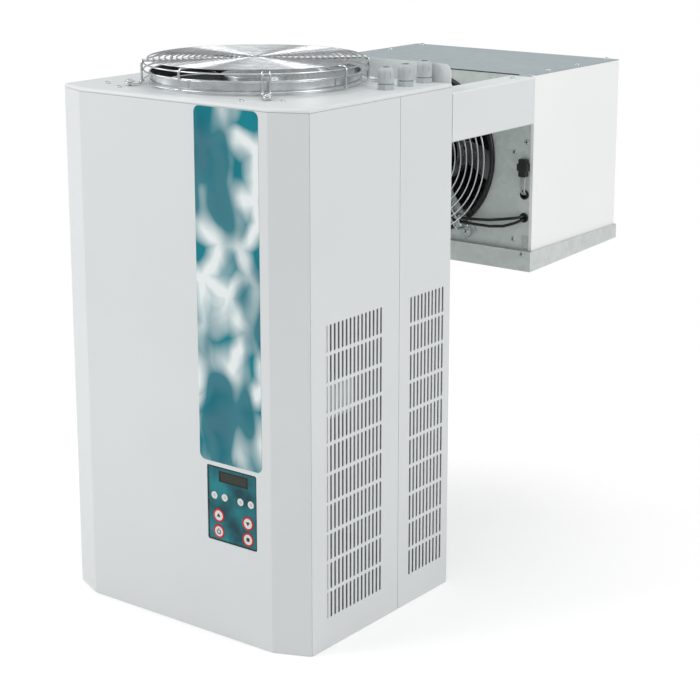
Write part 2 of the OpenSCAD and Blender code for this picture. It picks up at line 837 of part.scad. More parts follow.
// Condenser coil: it lies flat under the fan.
fin_t = 0.4;
end_t = 1.5;
bend_room = 24;
coil_y = casing_back - sheet - fit - coil_d;
coil_cols = 8;
coil_step_y = coil_d / coil_cols;
coil_step_z = coil_h / 2;
coil_cells = [
  for (r = [0, 1], c = [0:coil_cols - 1])
    [coil_y + coil_step_y * ((r == 0 ? c : coil_cols - 1 - c) + 0.5), coil_floor + coil_step_z * (r + 0.5)]
];
module coil_plate(y0, d, z0, h, cells, r) {
  difference() {
    translate([y0, z0]) square([d, h]);
    coil_holes(cells, r);
  }
}
module condenser_fins() {
  step = coil_w / (coil_fins - 1);
  color(bright) for (k = [0:coil_fins - 1])
    sideways(-coil_w / 2 + k * step - fin_t / 2, fin_t)
      coil_plate(coil_y, coil_d, coil_floor, coil_h, coil_cells, tube_d / 2 + hole_fit);
}
module condenser_tubes() {
  coil_tubes(coil_cells, -coil_w / 2 - end_t - 2 * fit, coil_w / 2 + end_t + 2 * fit, tube_d, bend_room / 2);
}
module condenser_end_plates() {
  hang = 12;
  color(galvanised) for (s = [0, 1]) mirror([s, 0, 0]) union() {
    sideways(coil_w / 2 + fin_t / 2 + fit, end_t) difference() {
      translate([coil_y, coil_floor - fit]) square([coil_d + fit, coil_h + hang]);
      coil_holes(coil_cells, tube_d / 2 + hole_fit);
    }
    block([coil_w / 2 + fit, casing_back - sheet - end_t, coil_floor - hang],
          [side - sheet - fit, casing_back - sheet, coil_floor + coil_h + hang]);
  }
}

// Hermetic compressor: domed steel shell with a weld band, on a stamped foot plate.
band_h = 8;
band_out = 3;
plate_h = 3;
plate_z = sheet + grommet_h;
dome_share = 0.28;
suction_stub_r = 6;
discharge_stub_r = 4;
stub_len = 30;
suction_shares = [0.2, 0.6];
discharge_shares = [0.5, -0.45];
saddle_share = 0.6;
foot_margin = 14;
module compressor() {
  dome = shell_h * dome_share;
  waist = shell_h - 2 * dome;
  reach = foot_span / 2 + foot_margin;
  arc = [for (a = [0:10:90]) a];
  color(black) translate([shell_x, shell_y, plate_z]) difference() {
    union() {
      translate([0, 0, plate_h]) rotate_extrude($fn = 96) polygon(concat(
        [[0, 0]],
        [for (a = arc) [shell_r * sin(a), dome * (1 - cos(a))]],
        [for (a = arc) [shell_r * cos(a), dome + waist + dome * sin(a)]]
      ));
      translate([0, 0, plate_h + shell_h / 2]) cylinder(h = band_h, r = shell_r + band_out, $fn = 96);
      linear_extrude(plate_h) rounded([-1, -1] * reach, [1, 1] * reach, foot_margin);
      cylinder(h = plate_h + dome / 2, r = shell_r * saddle_share, $fn = 64);
      for (q = [[discharge_shares, discharge_stub_r], [suction_shares, suction_stub_r]])
        translate([shell_r * q[0][0], shell_r * q[0][1], plate_h + shell_h / 2])
          cylinder(h = (shell_h + stub_len) / 2, r = q[1], $fn = 32);
    }
    for (x = [-1, 1], y = [-1, 1])
      translate([x * foot_span / 2, y * foot_span / 2, -over]) cylinder(h = plate_h + 2 * over, r = grommet_neck + fit, $fn = 40);
  }
}

// Rubber feet between the foot plate and the tray.
grommet_r = 13;
grommet_neck = 8;
grommet_waist = 2;
module compressor_grommets() {
  seat = grommet_h + plate_h + fit;
  color(black) for (p = foot_places) translate([p[0], p[1], sheet]) rotate_extrude($fn = 48) polygon([
    [stud_d / 2 + hole_fit, 0], [grommet_r, 0], [grommet_r - grommet_waist, grommet_h / 2],
    [grommet_r, grommet_h - fit], [grommet_neck, grommet_h - fit], [grommet_neck, seat],
    [grommet_r - grommet_waist, seat], [grommet_r - grommet_waist, seat + stud_d], [stud_d / 2 + hole_fit, seat + stud_d]
  ]);
}

// Cap over the compressor's terminals and start relay.
terminal_w = 58;
terminal_h = 64;
terminal_out = 34;
terminal_in = 16;
terminal_round = 8;
module terminal_cover() {
  color(black) translate([shell_x, shell_y, plate_z + plate_h + shell_h / 2 - terminal_h]) difference() {
    linear_extrude(terminal_h - band_h)
      rounded([shell_r - terminal_in, -terminal_w / 2], [shell_r + terminal_out, terminal_w / 2], terminal_round);
    translate([0, 0, -over]) cylinder(h = terminal_h + 2 * over, r = shell_r + fit, $fn = 96);
  }
}

// Sizes of the copper pipes, and the ends of the condenser's tube run.
pipe_d = 8;
suction_d = 12;
pipe_bend = 18;
pipe_sides = 10;
pipe_steps = 4;
loop_rise = 70;
stub_top = plate_z + plate_h + shell_h + stub_len / 2;
coil_inlet = [-coil_w / 2 - end_t - 2 * fit - bend_room / 2, coil_cells[0][0], coil_cells[0][1]];
coil_outlet_cell = coil_cells[len(coil_cells) - 1];
coil_outlet = [coil_inlet[0], coil_outlet_cell[0], coil_outlet_cell[1]];

// Copper filter drier in the liquid line, upright beside the compressor.
drier_r = 14;
drier_len = 110;
drier_aside = 1.6;
drier_x = coil_inlet[0] - drier_aside - drier_r;
drier_in = 70;
drier_y = back - drier_in;
drier_z = 330;
drier_neck = 12;
drier_socket = 1;
module filter_drier() {
  neck_r = pipe_d / 2 + drier_socket;
  color(copper) translate([drier_x, drier_y, drier_z]) rotate_extrude($fn = 48) polygon([
    [0, 0], [neck_r, 0], [neck_r, drier_neck], [drier_r, 2 * drier_neck],
    [drier_r, drier_len - 2 * drier_neck], [neck_r, drier_len - drier_neck], [neck_r, drier_len], [0, drier_len]
  ]);
}

// Copper pipe from the compressor to the condenser.
module discharge_pipe() {
  start = [shell_x + shell_r * discharge_shares[0], shell_y + shell_r * discharge_shares[1], stub_top + fit];
  out = coil_inlet[0] - fit - pipe_bend;
  color(copper) swept(turned([
    start, [start[0], start[1], stub_top + loop_rise], [out, start[1], stub_top + loop_rise],
    [out, coil_inlet[1], stub_top + loop_rise], [out, coil_inlet[1], coil_inlet[2]],
    [coil_inlet[0] - fit, coil_inlet[1], coil_inlet[2]]
  ], pipe_bend, pipe_steps), pipe_d, pipe_sides);
}

// Liquid line: condenser to drier, then up, over the wall and into the evaporator coil.
liquid_behind = 30;
liquid_beside = 14;
liquid_y = drier_y + liquid_behind;
liquid_x = pipe_x + liquid_beside;
evap_inside = 112;
evap_inside_y = fan_plate_y + evap_inside;
module liquid_pipe() {
  top = drier_z + drier_len + fit;
  color(copper) {
    swept(turned([
      [coil_outlet[0] - fit, coil_outlet[1], coil_outlet[2]], [drier_x, coil_outlet[1], coil_outlet[2]],
      [drier_x, drier_y, coil_outlet[2]], [drier_x, drier_y, top]
    ], pipe_bend, pipe_steps), pipe_d, pipe_sides);
    swept(turned([
      [drier_x, drier_y, drier_z - fit], [drier_x, drier_y, drier_z - 2 * pipe_bend],
      [drier_x, liquid_y, drier_z - 2 * pipe_bend], [drier_x, liquid_y, pipe_z], [liquid_x, liquid_y, pipe_z],
      [liquid_x, evap_inside_y, pipe_z], [evap_pipe_x, evap_inside_y, pipe_z],
      [evap_pipe_x, evap_inlet[1], pipe_z], [evap_pipe_x, evap_inlet[1], evap_inlet[2]],
      [evap_inlet[0] - fit, evap_inlet[1], evap_inlet[2]]
    ], pipe_bend, pipe_steps), pipe_d, pipe_sides);
  }
}

// Suction line back to the compressor, with foam insulation where it crosses the wall.
suction_beside = 7;
suction_behind = 52;
suction_rise = 13;
suction_aside = 1.7;
suction_low = 42;
suction_x = pipe_x - suction_beside;
suction_y = drier_y + suction_behind;
suction_drop_x = drier_x - suction_aside;
insulation_r = 14;
module suction_pipe() {
  low = stub_top + suction_low;
  end = [shell_x + shell_r * suction_shares[0], shell_y + shell_r * suction_shares[1], stub_top + fit];
  high = evap_outlet[2] + suction_rise;
  color(copper) swept(turned([
    [evap_outlet[0] - fit, evap_outlet[1], evap_outlet[2]], [evap_pipe_x, evap_outlet[1], evap_outlet[2]],
    [evap_pipe_x, evap_outlet[1], high], [evap_pipe_x, evap_inside_y - pipe_bend, high],
    [evap_pipe_x, evap_inside_y - pipe_bend, pipe_z], [suction_x, evap_inside_y - pipe_bend, pipe_z],
    [suction_x, suction_y, pipe_z], [suction_drop_x, suction_y, pipe_z], [suction_drop_x, suction_y, low],
    [end[0], suction_y, low], [end[0], end[1], low], end
  ], pipe_bend, pipe_steps), suction_d, pipe_sides);
}
module suction_insulation() {
  color(black) translate([suction_x, back + fit, pipe_z]) rotate([-90, 0, 0]) difference() {
    cylinder(h = fan_plate_y - back - 2 * fit, r = insulation_r, $fn = 48);
    translate([0, 0, -over]) cylinder(h = wall_gap + 4 * over, r = suction_d / 2 + fit, $fn = 48);
  }
}

// Metal box for relay and terminals, on a folded leg that stands in the base tray.
electric_w = 36;
electric_d = 66;
electric_h = 46;
electric_in = 11;
electric_front = 60;
electric_foot = 316;
electric_leg = 46;
electric_round = 3;
module electrical_box() {
  x = side - electric_in - electric_w;
  y = front + electric_front;
  mid = y + electric_d / 2;
  color(shade_white) union() {
    translate([x, y, electric_foot]) linear_extrude(electric_h) rounded([0, 0], [electric_w, electric_d], electric_round);
    block([x, mid - electric_leg / 2, sheet], [x + sheet, mid + electric_leg / 2, electric_foot + electric_h / 2]);
    block([x - electric_w / 2, mid - electric_leg / 2, sheet], [x + sheet, mid + electric_leg / 2, 2 * sheet]);
  }
}

// Control panel: faceplate behind the cover's window, with holes for keys, lamps and display.
face_y = front + sheet;
face_lap = 6;
key_aside = 1.25;
key_rise = 13.7;
led_rise = 64;
led_r = 1.75;
led_shares = [-0.73, -0.31, 0.33, 0.745];
display_w = 51;
display_h = 15.5;
display_round = 1;
display_aside = 2;
display_rise = 85;
key_mid_x = window_x + key_aside;
key_low = window_foot + key_rise;
led_z = window_foot + led_rise;
display_x = window_x + display_aside;
display_foot = window_foot + display_rise;
key_places = [for (r = [1, 0], c = [-1, 1]) [key_mid_x + c * key_step_x / 2, key_low + r * key_step_z]];
led_places = [for (s = led_shares) [window_x + s * window_w / 2, led_z]];
module face_outline(lap, r) {
  rounded([window_x - window_w / 2 - lap, window_foot - lap],
          [window_x + window_w / 2 + lap, window_foot + window_h + lap], r);
}
module display_outline(lap) {
  rounded([display_x - display_w / 2 - lap, display_foot - lap],
          [display_x + display_w / 2 + lap, display_foot + display_h + lap], display_round);
}
module control_panel() {
  color(teal) facing(face_y, face_t) difference() {
    face_outline(face_lap, 2 * window_r);
    display_outline(hole_fit);
    for (p = key_places) translate(p) circle(key_r + fit, $fn = 64);
    for (p = led_places) translate(p) circle(led_r + hole_fit, $fn = 32);
  }
}

// Black display pane, stepped so that its rim lies behind the faceplate.
pane_rim = 2;
pane_rim_t = 1.2;
module display_window() {
  color(black) union() {
    facing(face_y + fit, face_t) display_outline(0);
    facing(face_y + face_t, pane_rim_t) display_outline(pane_rim);
  }
}

// Key cap with a raised rim and a domed middle; its flange keeps it behind the faceplate.
key_flange_t = 1.2;
key_proud = 0.6;
key_flange_out = 1.1;
key_rim_w = 2.9;
module key(k) {
  color("#c8393b") translate([key_places[k][0], face_y, key_places[k][1]]) rotate([90, 0, 0])
    rotate_extrude($fn = 64) polygon([
      [0, -face_t - fit - key_flange_t], [key_r + key_flange_out, -face_t - fit - key_flange_t],
      [key_r + key_flange_out, -face_t - fit], [key_r, -face_t - fit], [key_r, 0],
      [key_r - key_proud, key_proud], [key_r - key_rim_w, key_proud],
      [key_r - key_rim_w - key_proud / 2, key_proud / 2], [0, key_proud]
    ]);
}
module key_1() { key(0); }
module key_2() { key(1); }
module key_3() { key(2); }
module key_4() { key(3); }

// Circuit board with a plunger switch behind every key.
board_t = 1.6;
board_gap = 8;
board_y = face_y + face_t + board_gap;
switch_r = 3;
housing_t = 2;
housing_d = 36;
module controller_board() {
  start = face_y + face_t + fit + key_flange_t + key_travel + fit;
  color("#2f6b3c") union() {
    facing(board_y, board_t) face_outline(face_lap - housing_t - fit, window_r);
    for (p = key_places) translate([p[0], start, p[1]])
      rotate([-90, 0, 0]) cylinder(h = board_y - start + board_t / 2, r = switch_r, $fn = 32);
  }
}
module controller_housing() {
  color(black) difference() {
    facing(face_y + face_t, housing_d) face_outline(face_lap, 2 * window_r);
    facing(face_y + face_t - over, housing_d + over - housing_t) face_outline(face_lap - housing_t, window_r);
  }
}

// Lamp lenses that reach from the board to the face.
module led_lenses() {
  color("#f3f3ea") for (p = led_places) translate([p[0], face_y - fit, p[1]])
    rotate([-90, 0, 0]) cylinder(h = board_y - face_y + fit, r = led_r, $fn = 32);
}

// Printed label on the front.
label_aside = 0.75;
module decor_label() {
  mid = window_x - label_aside;
  color(teal) facing(front - label_t, label_t)
    rounded([mid - label_w / 2, label_foot], [mid + label_w / 2, label_foot + label_h], label_r);
}

// Cable glands: body with hex base, ribbed cap nut and rubber seal.
hex_h = 7;
hex_r = gland_r + 1.5;
thread_down = 12;
thread_r = gland_hole_r;
neck_r = 8.6;
neck_h = 17;
body_bore = 6;
nut_gap = 1.2;
notch_count = 8;
notch_r = 1;
module gland_bodies() {
  color(bright) for (p = gland_places) translate([p[0], p[1], cab_h]) difference() {
    union() {
      cylinder(h = hex_h, r = hex_r, $fn = 6);
      translate([0, 0, -thread_down]) cylinder(h = thread_down, r = thread_r, $fn = 48);
      cylinder(h = neck_h, r = neck_r, $fn = 48);
    }
    translate([0, 0, -thread_down - over]) cylinder(h = neck_h + thread_down + 2 * over, r = body_bore, $fn = 48);
  }
}
shoulder_share = 0.74;
mouth_share = 0.52;
ceiling_share = 0.8;
lip_share = 0.94;
dome_shares = [[0.94, 0.86], [0.8, 0.95], [0.62, 1]];
notch_foot_share = 0.53;
mouth_r = gland_r * mouth_share;
module gland_nuts() {
  foot = hex_h + nut_gap;
  in_r = neck_r + fit;
  color(bright) for (p = gland_places) translate([p[0], p[1], cab_h]) difference() {
    rotate_extrude($fn = 64) polygon([
      [in_r, foot], [gland_r, foot], [gland_r, gland_h * shoulder_share],
      each [for (q = dome_shares) [gland_r * q[0], gland_h * q[1]]],
      [mouth_r, gland_h], [mouth_r, gland_h * lip_share], [in_r, gland_h * ceiling_share]
    ]);
    for (k = [0:notch_count - 1]) rotate([0, 0, 360 * (k + 0.5) / notch_count])
      translate([gland_r + notch_r / 4, 0, gland_h * notch_foot_share]) cylinder(h = gland_h, r = notch_r, $fn = 24);
  }
}
module gland_seals() {
  color(black) for (p = gland_places) translate([p[0], p[1], cab_h]) rotate_extrude($fn = 48) polygon([
    [gland_bore, neck_h + hole_fit], [neck_r, neck_h + hole_fit], [neck_r, gland_h * ceiling_share - fit],
    [mouth_r - hole_fit, gland_h * lip_share - fit], [mouth_r - hole_fit, gland_h - fit], [gland_bore, gland_h - fit]
  ]);
}

// Pan-head screws of the lid, the arms, the evaporator's top, its fan plate and the tray.
arm_screw_in = 18;
arm_screw_back = 34;
tray_screw_drop = 5;
arm_screws = [
  for (x = [evap_left + arm_screw_in, evap_right - arm_screw_in]) [x, evap_front - arm_screw_back]
];
bracket_w = 12;
tray_screw_x = evap_w / 2 - evap_return - fit - bracket_w / 2;
module panel_screws() {
  color(bright) {
    for (p = lid_screws) translate([p[0], front + p[1], cab_h]) screw();
    for (p = arm_screws) translate([p[0], p[1], arm_top]) screw();
    for (p = evap_top_screws) translate([p[0], p[1], evap_roof]) screw();
    for (p = plate_screws) translate([p[0], fan_plate_y, p[1]]) rotate([90, 0, 0]) screw();
    for (s = [-1, 1]) translate([evap_x + s * tray_screw_x, tray_y0, tray_rim - tray_screw_drop])
      rotate([90, 0, 0]) screw();
  }
}

// Arms: channels with folded flanges and an end plate at each end.
module arm_outline() {
  intersection() {
    rounded([side - arm_flange - 4 * arm_fold, arm_foot], [side, arm_top], arm_fold);
    translate([side - arm_flange, arm_foot]) square([arm_flange, arm_h]);
  }
}
module arm() {
  length = wall_gap - seam / 2;
  color(white) difference() {
    union() {
      facing(back, length) difference() {
        arm_outline();
        rounded([side - 2 * arm_flange, arm_foot + arm_t], [side - arm_t, arm_top - arm_t], arm_fold - arm_t);
      }
      facing(back, arm_t) arm_outline();
      facing(back + length - arm_t, arm_t) arm_outline();
    }
    translate([evap_right - arm_screw_in, evap_front - arm_screw_back, arm_top]) screw_hole(over);
  }
}
module arm_right() { arm(); }
module arm_left() { translate([2 * evap_x, 0, 0]) mirror([1, 0, 0]) arm(); }

// Plate between the arms' lower flanges; it rests on the wall's upper edge.
module saddle_plate() {
  lip = 8;
  y0 = back + arm_t + fit;
  y1 = fan_plate_y - evap_guard_out - ring_wire;
  x0 = evap_left + arm_fold + fit;
  x1 = evap_right - arm_fold - fit;
  z = arm_foot + arm_t;
  color(galvanised) union() {
    block([x0, y0, z], [x1, y1, z + sheet]);
    block([x0, y0, z], [x1, y0 + sheet, z + lip]);
    block([x0, y1 - sheet, z], [x1, y1, z + lip]);
  }
}

// Evaporator side: painted sheet with returns at front, back and top.
back_return = 15;
top_return = 28;
module evap_side() {
  top = evap_roof - sheet;
  x = evap_right;
  color("#f2f4f4") difference() {
    union() {
      block([x - sheet, evap_front, evap_floor], [x, evap_back, top]);
      block([x - evap_return, evap_front, evap_floor], [x, evap_front + sheet, top]);
      block([x - back_return, evap_back - sheet, evap_floor], [x, evap_back, top]);
      block([x - top_return, evap_front + sheet, top - sheet], [x, evap_back - sheet - fit, top]);
    }
    for (s = evap_screw_shares)
      translate([x - evap_screw_in, evap_front + s * evap_d, evap_roof]) screw_hole(over);
  }
}
module evap_side_right() { evap_side(); }
module evap_side_left() { translate([2 * evap_x, 0, 0]) mirror([1, 0, 0]) evap_side(); }

// Galvanised top sheet with a folded lip above the coil.
module evap_top() {
  lip = 14;
  color("#c3ced3") difference() {
    union() {
      block([evap_left, evap_front, evap_roof - sheet], [evap_right, evap_back, evap_roof]);
      block([evap_left + back_return + fit, evap_back - sheet, evap_roof - lip],
            [evap_right - back_return - fit, evap_back, evap_roof]);
    }
    for (p = evap_top_screws) translate([p[0], p[1], evap_roof]) screw_hole(over);
  }
}

// Fan plate with the fan's hole, a pipe hole and holes for grommets and screws.
ring_t = 1.6;
cable_x = evap_w / 2 - 14.4;
cable_z = [-47.2, -82.5];
cable_hole_r = 5.8;
module across(x, z, r) {
  translate([evap_x + x, fan_plate_y - over, evap_fan_z + z]) rotate([-90, 0, 0])
    cylinder(h = sheet + 2 * over, r = r, $fn = 64);
}
module evap_fan_plate() {
  color(galvanised) difference() {
    block([evap_left + sheet + fit, fan_plate_y, evap_floor],
          [evap_right - sheet - fit, fan_plate_y + sheet, evap_roof - 2 * sheet - fit]);
    across(0, 0, ring_r + ring_t + fit);
    across(pipe_x - evap_x, pipe_z - evap_fan_z, pipe_hole_r);
    for (z = cable_z) across(cable_x, z, cable_hole_r);
    for (p = plate_screws) translate([p[0], fan_plate_y, p[1]]) rotate([90, 0, 0]) screw_hole(over);
    for (k = [0:3]) translate([evap_x, fan_plate_y, evap_fan_z]) rotate([0, strut_turn + 90 * k, 0])
      translate([evap_foot_r, 0, 0]) rotate([90, 0, 0]) screw_hole(over);
  }
}

// Black ring round the evaporator fan.
ring_out = 127;
ring_proud = 6;
ring_deep = 16;
ring_fall_share = 0.4;
ring_edge_share = 0.85;
module evap_fan_ring() {
  color(black) translate([evap_x, fan_plate_y, evap_fan_z]) rotate([90, 0, 0]) rotate_extrude($fn = 128) polygon([
    [ring_r, -ring_deep], [ring_r + ring_t, -ring_deep], [ring_r + ring_t, 0], [ring_out, 0],
    [ring_out, ring_proud * ring_fall_share], [ring_out - ring_t, ring_proud * ring_edge_share],
    [ring_out - 2 * ring_t, ring_proud], [ring_r + 2 * ring_t, ring_proud],
    [ring_r + ring_t, ring_proud * ring_edge_share], [ring_r, ring_proud * ring_fall_share]
  ]);
}

// Evaporator guard: flat rings welded on four double struts.
evap_guard_bend = 4;
module evap_guard() {
  step = (evap_guard_r - evap_eye_r) / (evap_rings - 1);
  reach = ring_out + strap_t + 3 * fit + strut_wire / 2;
  top = evap_guard_out - (ring_wire + strut_wire) / 2 + weld;
  color(bright) translate([evap_x, fan_plate_y, evap_fan_z]) rotate([90, 0, 0]) union() {
    for (k = [0:evap_rings - 1]) wire_ring(evap_eye_r + k * step, evap_guard_out, ring_wire);
    for (k = [0:3]) rotate([0, 0, -strut_turn - 90 * k])
      strut_pair(reach, top, strap_t + strut_wire / 2, evap_eye_r - eye_in, evap_guard_bend,
                 strut_wire, evap_foot_r, pair_gap);
  }
}

// Strap cross that carries the evaporator fan's motor; it shares the guard's screws.
strap_rise = ring_proud + fit;
module evap_motor_bracket() {
  leg = ring_out + fit;
  toe = evap_foot_r + washer_r;
  color(galvanised) translate([evap_x, fan_plate_y, evap_fan_z]) rotate([90, 0, 0]) difference() {
    union() {
      translate([0, 0, strap_rise]) cylinder(h = strap_t, r = motor_r - motor_edge, $fn = 64);
      for (k = [0:3]) rotate([0, 0, -strut_turn - 90 * k]) {
        block([0, -strap_w / 2, strap_rise], [leg + strap_t, strap_w / 2, strap_rise + strap_t]);
        block([leg, -strap_w / 2, 0], [leg + strap_t, strap_w / 2, strap_rise + strap_t]);
        block([leg, -strap_w / 2, 0], [toe, strap_w / 2, strap_t]);
      }
    }
    for (k = [0:3]) rotate([0, 0, -strut_turn - 90 * k]) translate([evap_foot_r, 0, 0]) screw_hole(over);
  }
}
evap_motor_y = fan_plate_y - strap_rise;
module evap_fan_motor() {
  translate([evap_x, evap_motor_y, evap_fan_z]) rotate([-90, 0, 0]) motor(evap_motor_h);
}
module evap_fan() {
  translate([evap_x, evap_motor_y + evap_motor_h + cup_gap + hub_t, evap_fan_z])
    rotate([-90, 0, 0]) fan(evap_fan_r, evap_blades, cup_depth);
}

// Evaporator coil: upright, behind the fan and open to the room.
coil_rows = 8;
coil_foot = 8;
coil_head = 12;
coil_recess = 12;
evap_coil_y = evap_back - coil_recess - evap_coil_d;
evap_coil_z = evap_floor + coil_foot;
evap_coil_h = evap_h - coil_foot - coil_head;
evap_cells = [
  for (c = [0, 1], r = [0:coil_rows - 1])
    [evap_coil_y + evap_coil_d * (c + 0.5) / 2,
     evap_coil_z + evap_coil_h * ((c == 0 ? coil_rows - 1 - r : r) + 0.5) / coil_rows]
];
evap_coil_x0 = evap_x - evap_coil_w / 2;
evap_coil_x1 = evap_x + evap_coil_w / 2;
evap_stub = 6;
evap_stub_x = evap_coil_x0 - end_t - 2 * fit - evap_stub;
evap_inlet = [evap_stub_x, evap_cells[0][0], evap_cells[0][1]];
evap_last = evap_cells[len(evap_cells) - 1];
evap_outlet = [evap_stub_x, evap_last[0], evap_last[1]];
evap_pipe_x = evap_left + sheet + suction_d / 2 + 5;
module evap_fins() {
  step = evap_coil_w / (evap_fins_n - 1);
  color(bright) for (k = [0:evap_fins_n - 1])
    sideways(evap_coil_x0 + k * step - fin_t / 2, fin_t)
      coil_plate(evap_coil_y, evap_coil_d, evap_coil_z, evap_coil_h, evap_cells, tube_d / 2 + hole_fit);
}
module evap_tubes() {
  coil_tubes(evap_cells, evap_coil_x0 - end_t - 2 * fit, evap_coil_x1 + end_t + 2 * fit, tube_d, evap_stub);
}
module evap_end_plates() {
  rear = evap_back - sheet - hole_fit;
  reach = evap_w / 2 - sheet - fit;
  near = evap_coil_w / 2 + fin_t / 2 + fit;
  color(galvanised) translate([evap_x, 0, 0]) for (s = [0, 1]) mirror([s, 0, 0]) union() {
    sideways(near, end_t) coil_plate(evap_coil_y, rear - evap_coil_y, evap_coil_z, evap_coil_h, evap_cells,
                                     tube_d / 2 + hole_fit);
    block([near, rear - end_t, evap_coil_z], [reach, rear, evap_coil_z + evap_coil_h]);
  }
}

// Drip tray with a sloping floor, folded rims and a flanged drain spout at its low end.
tray_y0 = evap_front - tray_fore;
tray_y1 = evap_back + tray_aft;
tray_rim = evap_floor + tray_lap;
spout_x = evap_x - 81;
spout_in = 35;
spout_wall = 2;
spout_flange_h = 3;
spout_flange_r = spout_r + 3;
module drip_tray() {
  x0 = evap_left - tray_reach;
  x1 = evap_right + tray_reach;
  slope = (tray_front_h - tray_back_h) / (tray_y1 - tray_y0);
  spout_top = tray_rim - tray_front_h + tray_t / 2 + slope * spout_in;
  color(galvanised) difference() {
    union() {
      difference() {
        sideways(x0, x1 - x0) polygon([
          [tray_y0, tray_rim], [tray_y0, tray_rim - tray_front_h],
          [tray_y1, tray_rim - tray_back_h], [tray_y1, tray_rim]
        ]);
        sideways(x0 + tray_t, x1 - x0 - 2 * tray_t) polygon([
          [tray_y0 + tray_t, tray_rim + over], [tray_y0 + tray_t, tray_rim - tray_front_h + tray_t],
          [tray_y1 - tray_t, tray_rim - tray_back_h + tray_t], [tray_y1 - tray_t, tray_rim + over]
        ]);
      }
      translate([spout_x, tray_y0 + spout_in, spout_top - spout_len]) cylinder(h = spout_len, r = spout_r, $fn = 48);
      translate([spout_x, tray_y0 + spout_in, spout_top - spout_flange_h])
        cylinder(h = spout_flange_h, r = spout_flange_r, $fn = 48);
    }
    translate([spout_x, tray_y0 + spout_in, spout_top - spout_len - over])
      cylinder(h = spout_len + 2 * over, r = spout_r - spout_wall, $fn = 48);
    for (s = [-1, 1]) translate([evap_x + s * tray_screw_x, tray_y0, tray_rim - tray_screw_drop])
      rotate([90, 0, 0]) screw_hole(over);
  }
}

// Folded tabs that hang the tray from the fan plate and from the sides' back returns.
bracket_h = 24;
bracket_tab = 14;
module tray_brackets() {
  x1 = evap_w / 2 - evap_return - fit;
  x0 = x1 - bracket_w;
  r1 = evap_w / 2 - sheet - fit;
  color(bright) translate([evap_x, 0, 0]) for (s = [0, 1]) mirror([s, 0, 0]) difference() {
    union() {
      block([x0, fan_plate_y - tray_t, tray_rim - tray_t], [x1, fan_plate_y, evap_floor + bracket_h]);
      block([x0, tray_y0 + tray_t, tray_rim - tray_t], [x1, fan_plate_y, tray_rim]);
      block([x0, tray_y0 + tray_t, tray_rim - bracket_tab], [x1, tray_y0 + 2 * tray_t, tray_rim]);
      block([r1 - bracket_w, evap_back, evap_floor], [r1, evap_back + tray_t, evap_floor + bracket_h]);
      block([r1 - bracket_w, evap_back + tray_t, tray_rim - bracket_tab], [r1, tray_y1 - tray_t, tray_rim]);
    }
    translate([tray_screw_x, tray_y0, tray_rim - tray_screw_drop]) rotate([90, 0, 0]) screw_hole(2 * over);
    for (x = [plate_screw_in, plate_screw_inner])
      translate([evap_w / 2 - x, fan_plate_y, evap_floor + plate_screw_z]) rotate([90, 0, 0]) screw_hole(over);
  }
}

// Rubber grommets in the fan plate.
grommet_lip_r = 7.4;
grommet_lip_t = 2.4;
lead_d = 4.6;
lead_shift = 2.5;
grommet_bore = lead_shift + lead_d / 2 + hole_fit;
module cable_grommets() {
  color(black) for (z = cable_z)
    translate([evap_x + cable_x, fan_plate_y, evap_fan_z + z]) rotate([90, 0, 0]) rotate_extrude($fn = 48) polygon([
      [grommet_bore, -sheet - grommet_lip_t], [grommet_lip_r, -sheet - grommet_lip_t], [grommet_lip_r, -sheet - hole_fit],
      [cable_hole_r - hole_fit, -sheet - hole_fit], [cable_hole_r - hole_fit, 0], [grommet_lip_r, 0],
      [grommet_lip_r, grommet_lip_t * 0.6], [grommet_lip_r * 0.9, grommet_lip_t], [grommet_bore, grommet_lip_t]
    ]);
}

// Black two-pole plug that lies on the fan plate above the upper grommet.
plug_foot = -19.3;
plug_parts_w = [12, 17.5, 13.5];
plug_parts_h = [9, 11, 7];
plug_d = 10;
module plug_connector() {
  color(black) translate([evap_x + cable_x, 0, evap_fan_z + plug_foot]) union() {
    facing(fan_plate_y - fit - plug_d, plug_d)
      rounded([-plug_parts_w[0] / 2, 0], [plug_parts_w[0] / 2, plug_parts_h[0] + 2], 1.5);
    facing(fan_plate_y - fit - plug_d, plug_d)
      rounded([-plug_parts_w[1] / 2, plug_parts_h[0]], [plug_parts_w[1] / 2, plug_parts_h[0] + plug_parts_h[1]], 1.5);
    facing(fan_plate_y - fit - plug_d * 0.9, plug_d * 0.8)
      rounded([-plug_parts_w[2] / 2, plug_parts_h[0] + plug_parts_h[1] - 2],
              [plug_parts_w[2] / 2, plug_parts_h[0] + plug_parts_h[1] + plug_parts_h[2]], 1.5);
  }
}

// Leads, given from the evaporator fan's centre on the fan plate: plug to grommet, grommet to motor.
lead_sides = 8;
wire_d = 3;
plug_leads = [
  [[-3, -5, -19.6], [-3, -6, -24], [-3.2, -7, -31], [-3, -7, -38], [-2.4, -5, -44], [-1.7, 0, -47.2], [-1.7, 8, -47.2]],
  [[3, -5, -19.6], [3, -6, -24], [3.2, -7, -31], [3, -7, -38], [2.4, -5, -44], [1.7, 0, -47.2], [1.7, 8, -47.2]]
];
motor_leads = [
  [
    [180.6, 10, -80], [180.6, -6, -80], [174, -12, -82], [152, -14.5, -86], [128, -14.8, -90],
    [105, -14.8, -92], [84, -14.8, -93], [69, -14.8, -93], [52, -14.8, -86], [36, -14.8, -76],
    [20, -14, -67], [10, -9, -61], [5, -1, -57], [4, 4, -51], [4, 5, -42.8]
  ],
  [
    [180.6, 10, -85], [180.6, -5, -85], [172, -11, -90], [152, -13, -97], [128, -13.5, -100],
    [105, -14, -100], [84, -14.8, -99.5], [67, -14.8, -99], [48, -14.8, -92], [32, -14.8, -82],
    [14, -14, -73], [2, -8, -67], [-4, 0, -61], [-5, 4, -53], [-5, 5, -42.8]
  ]
];
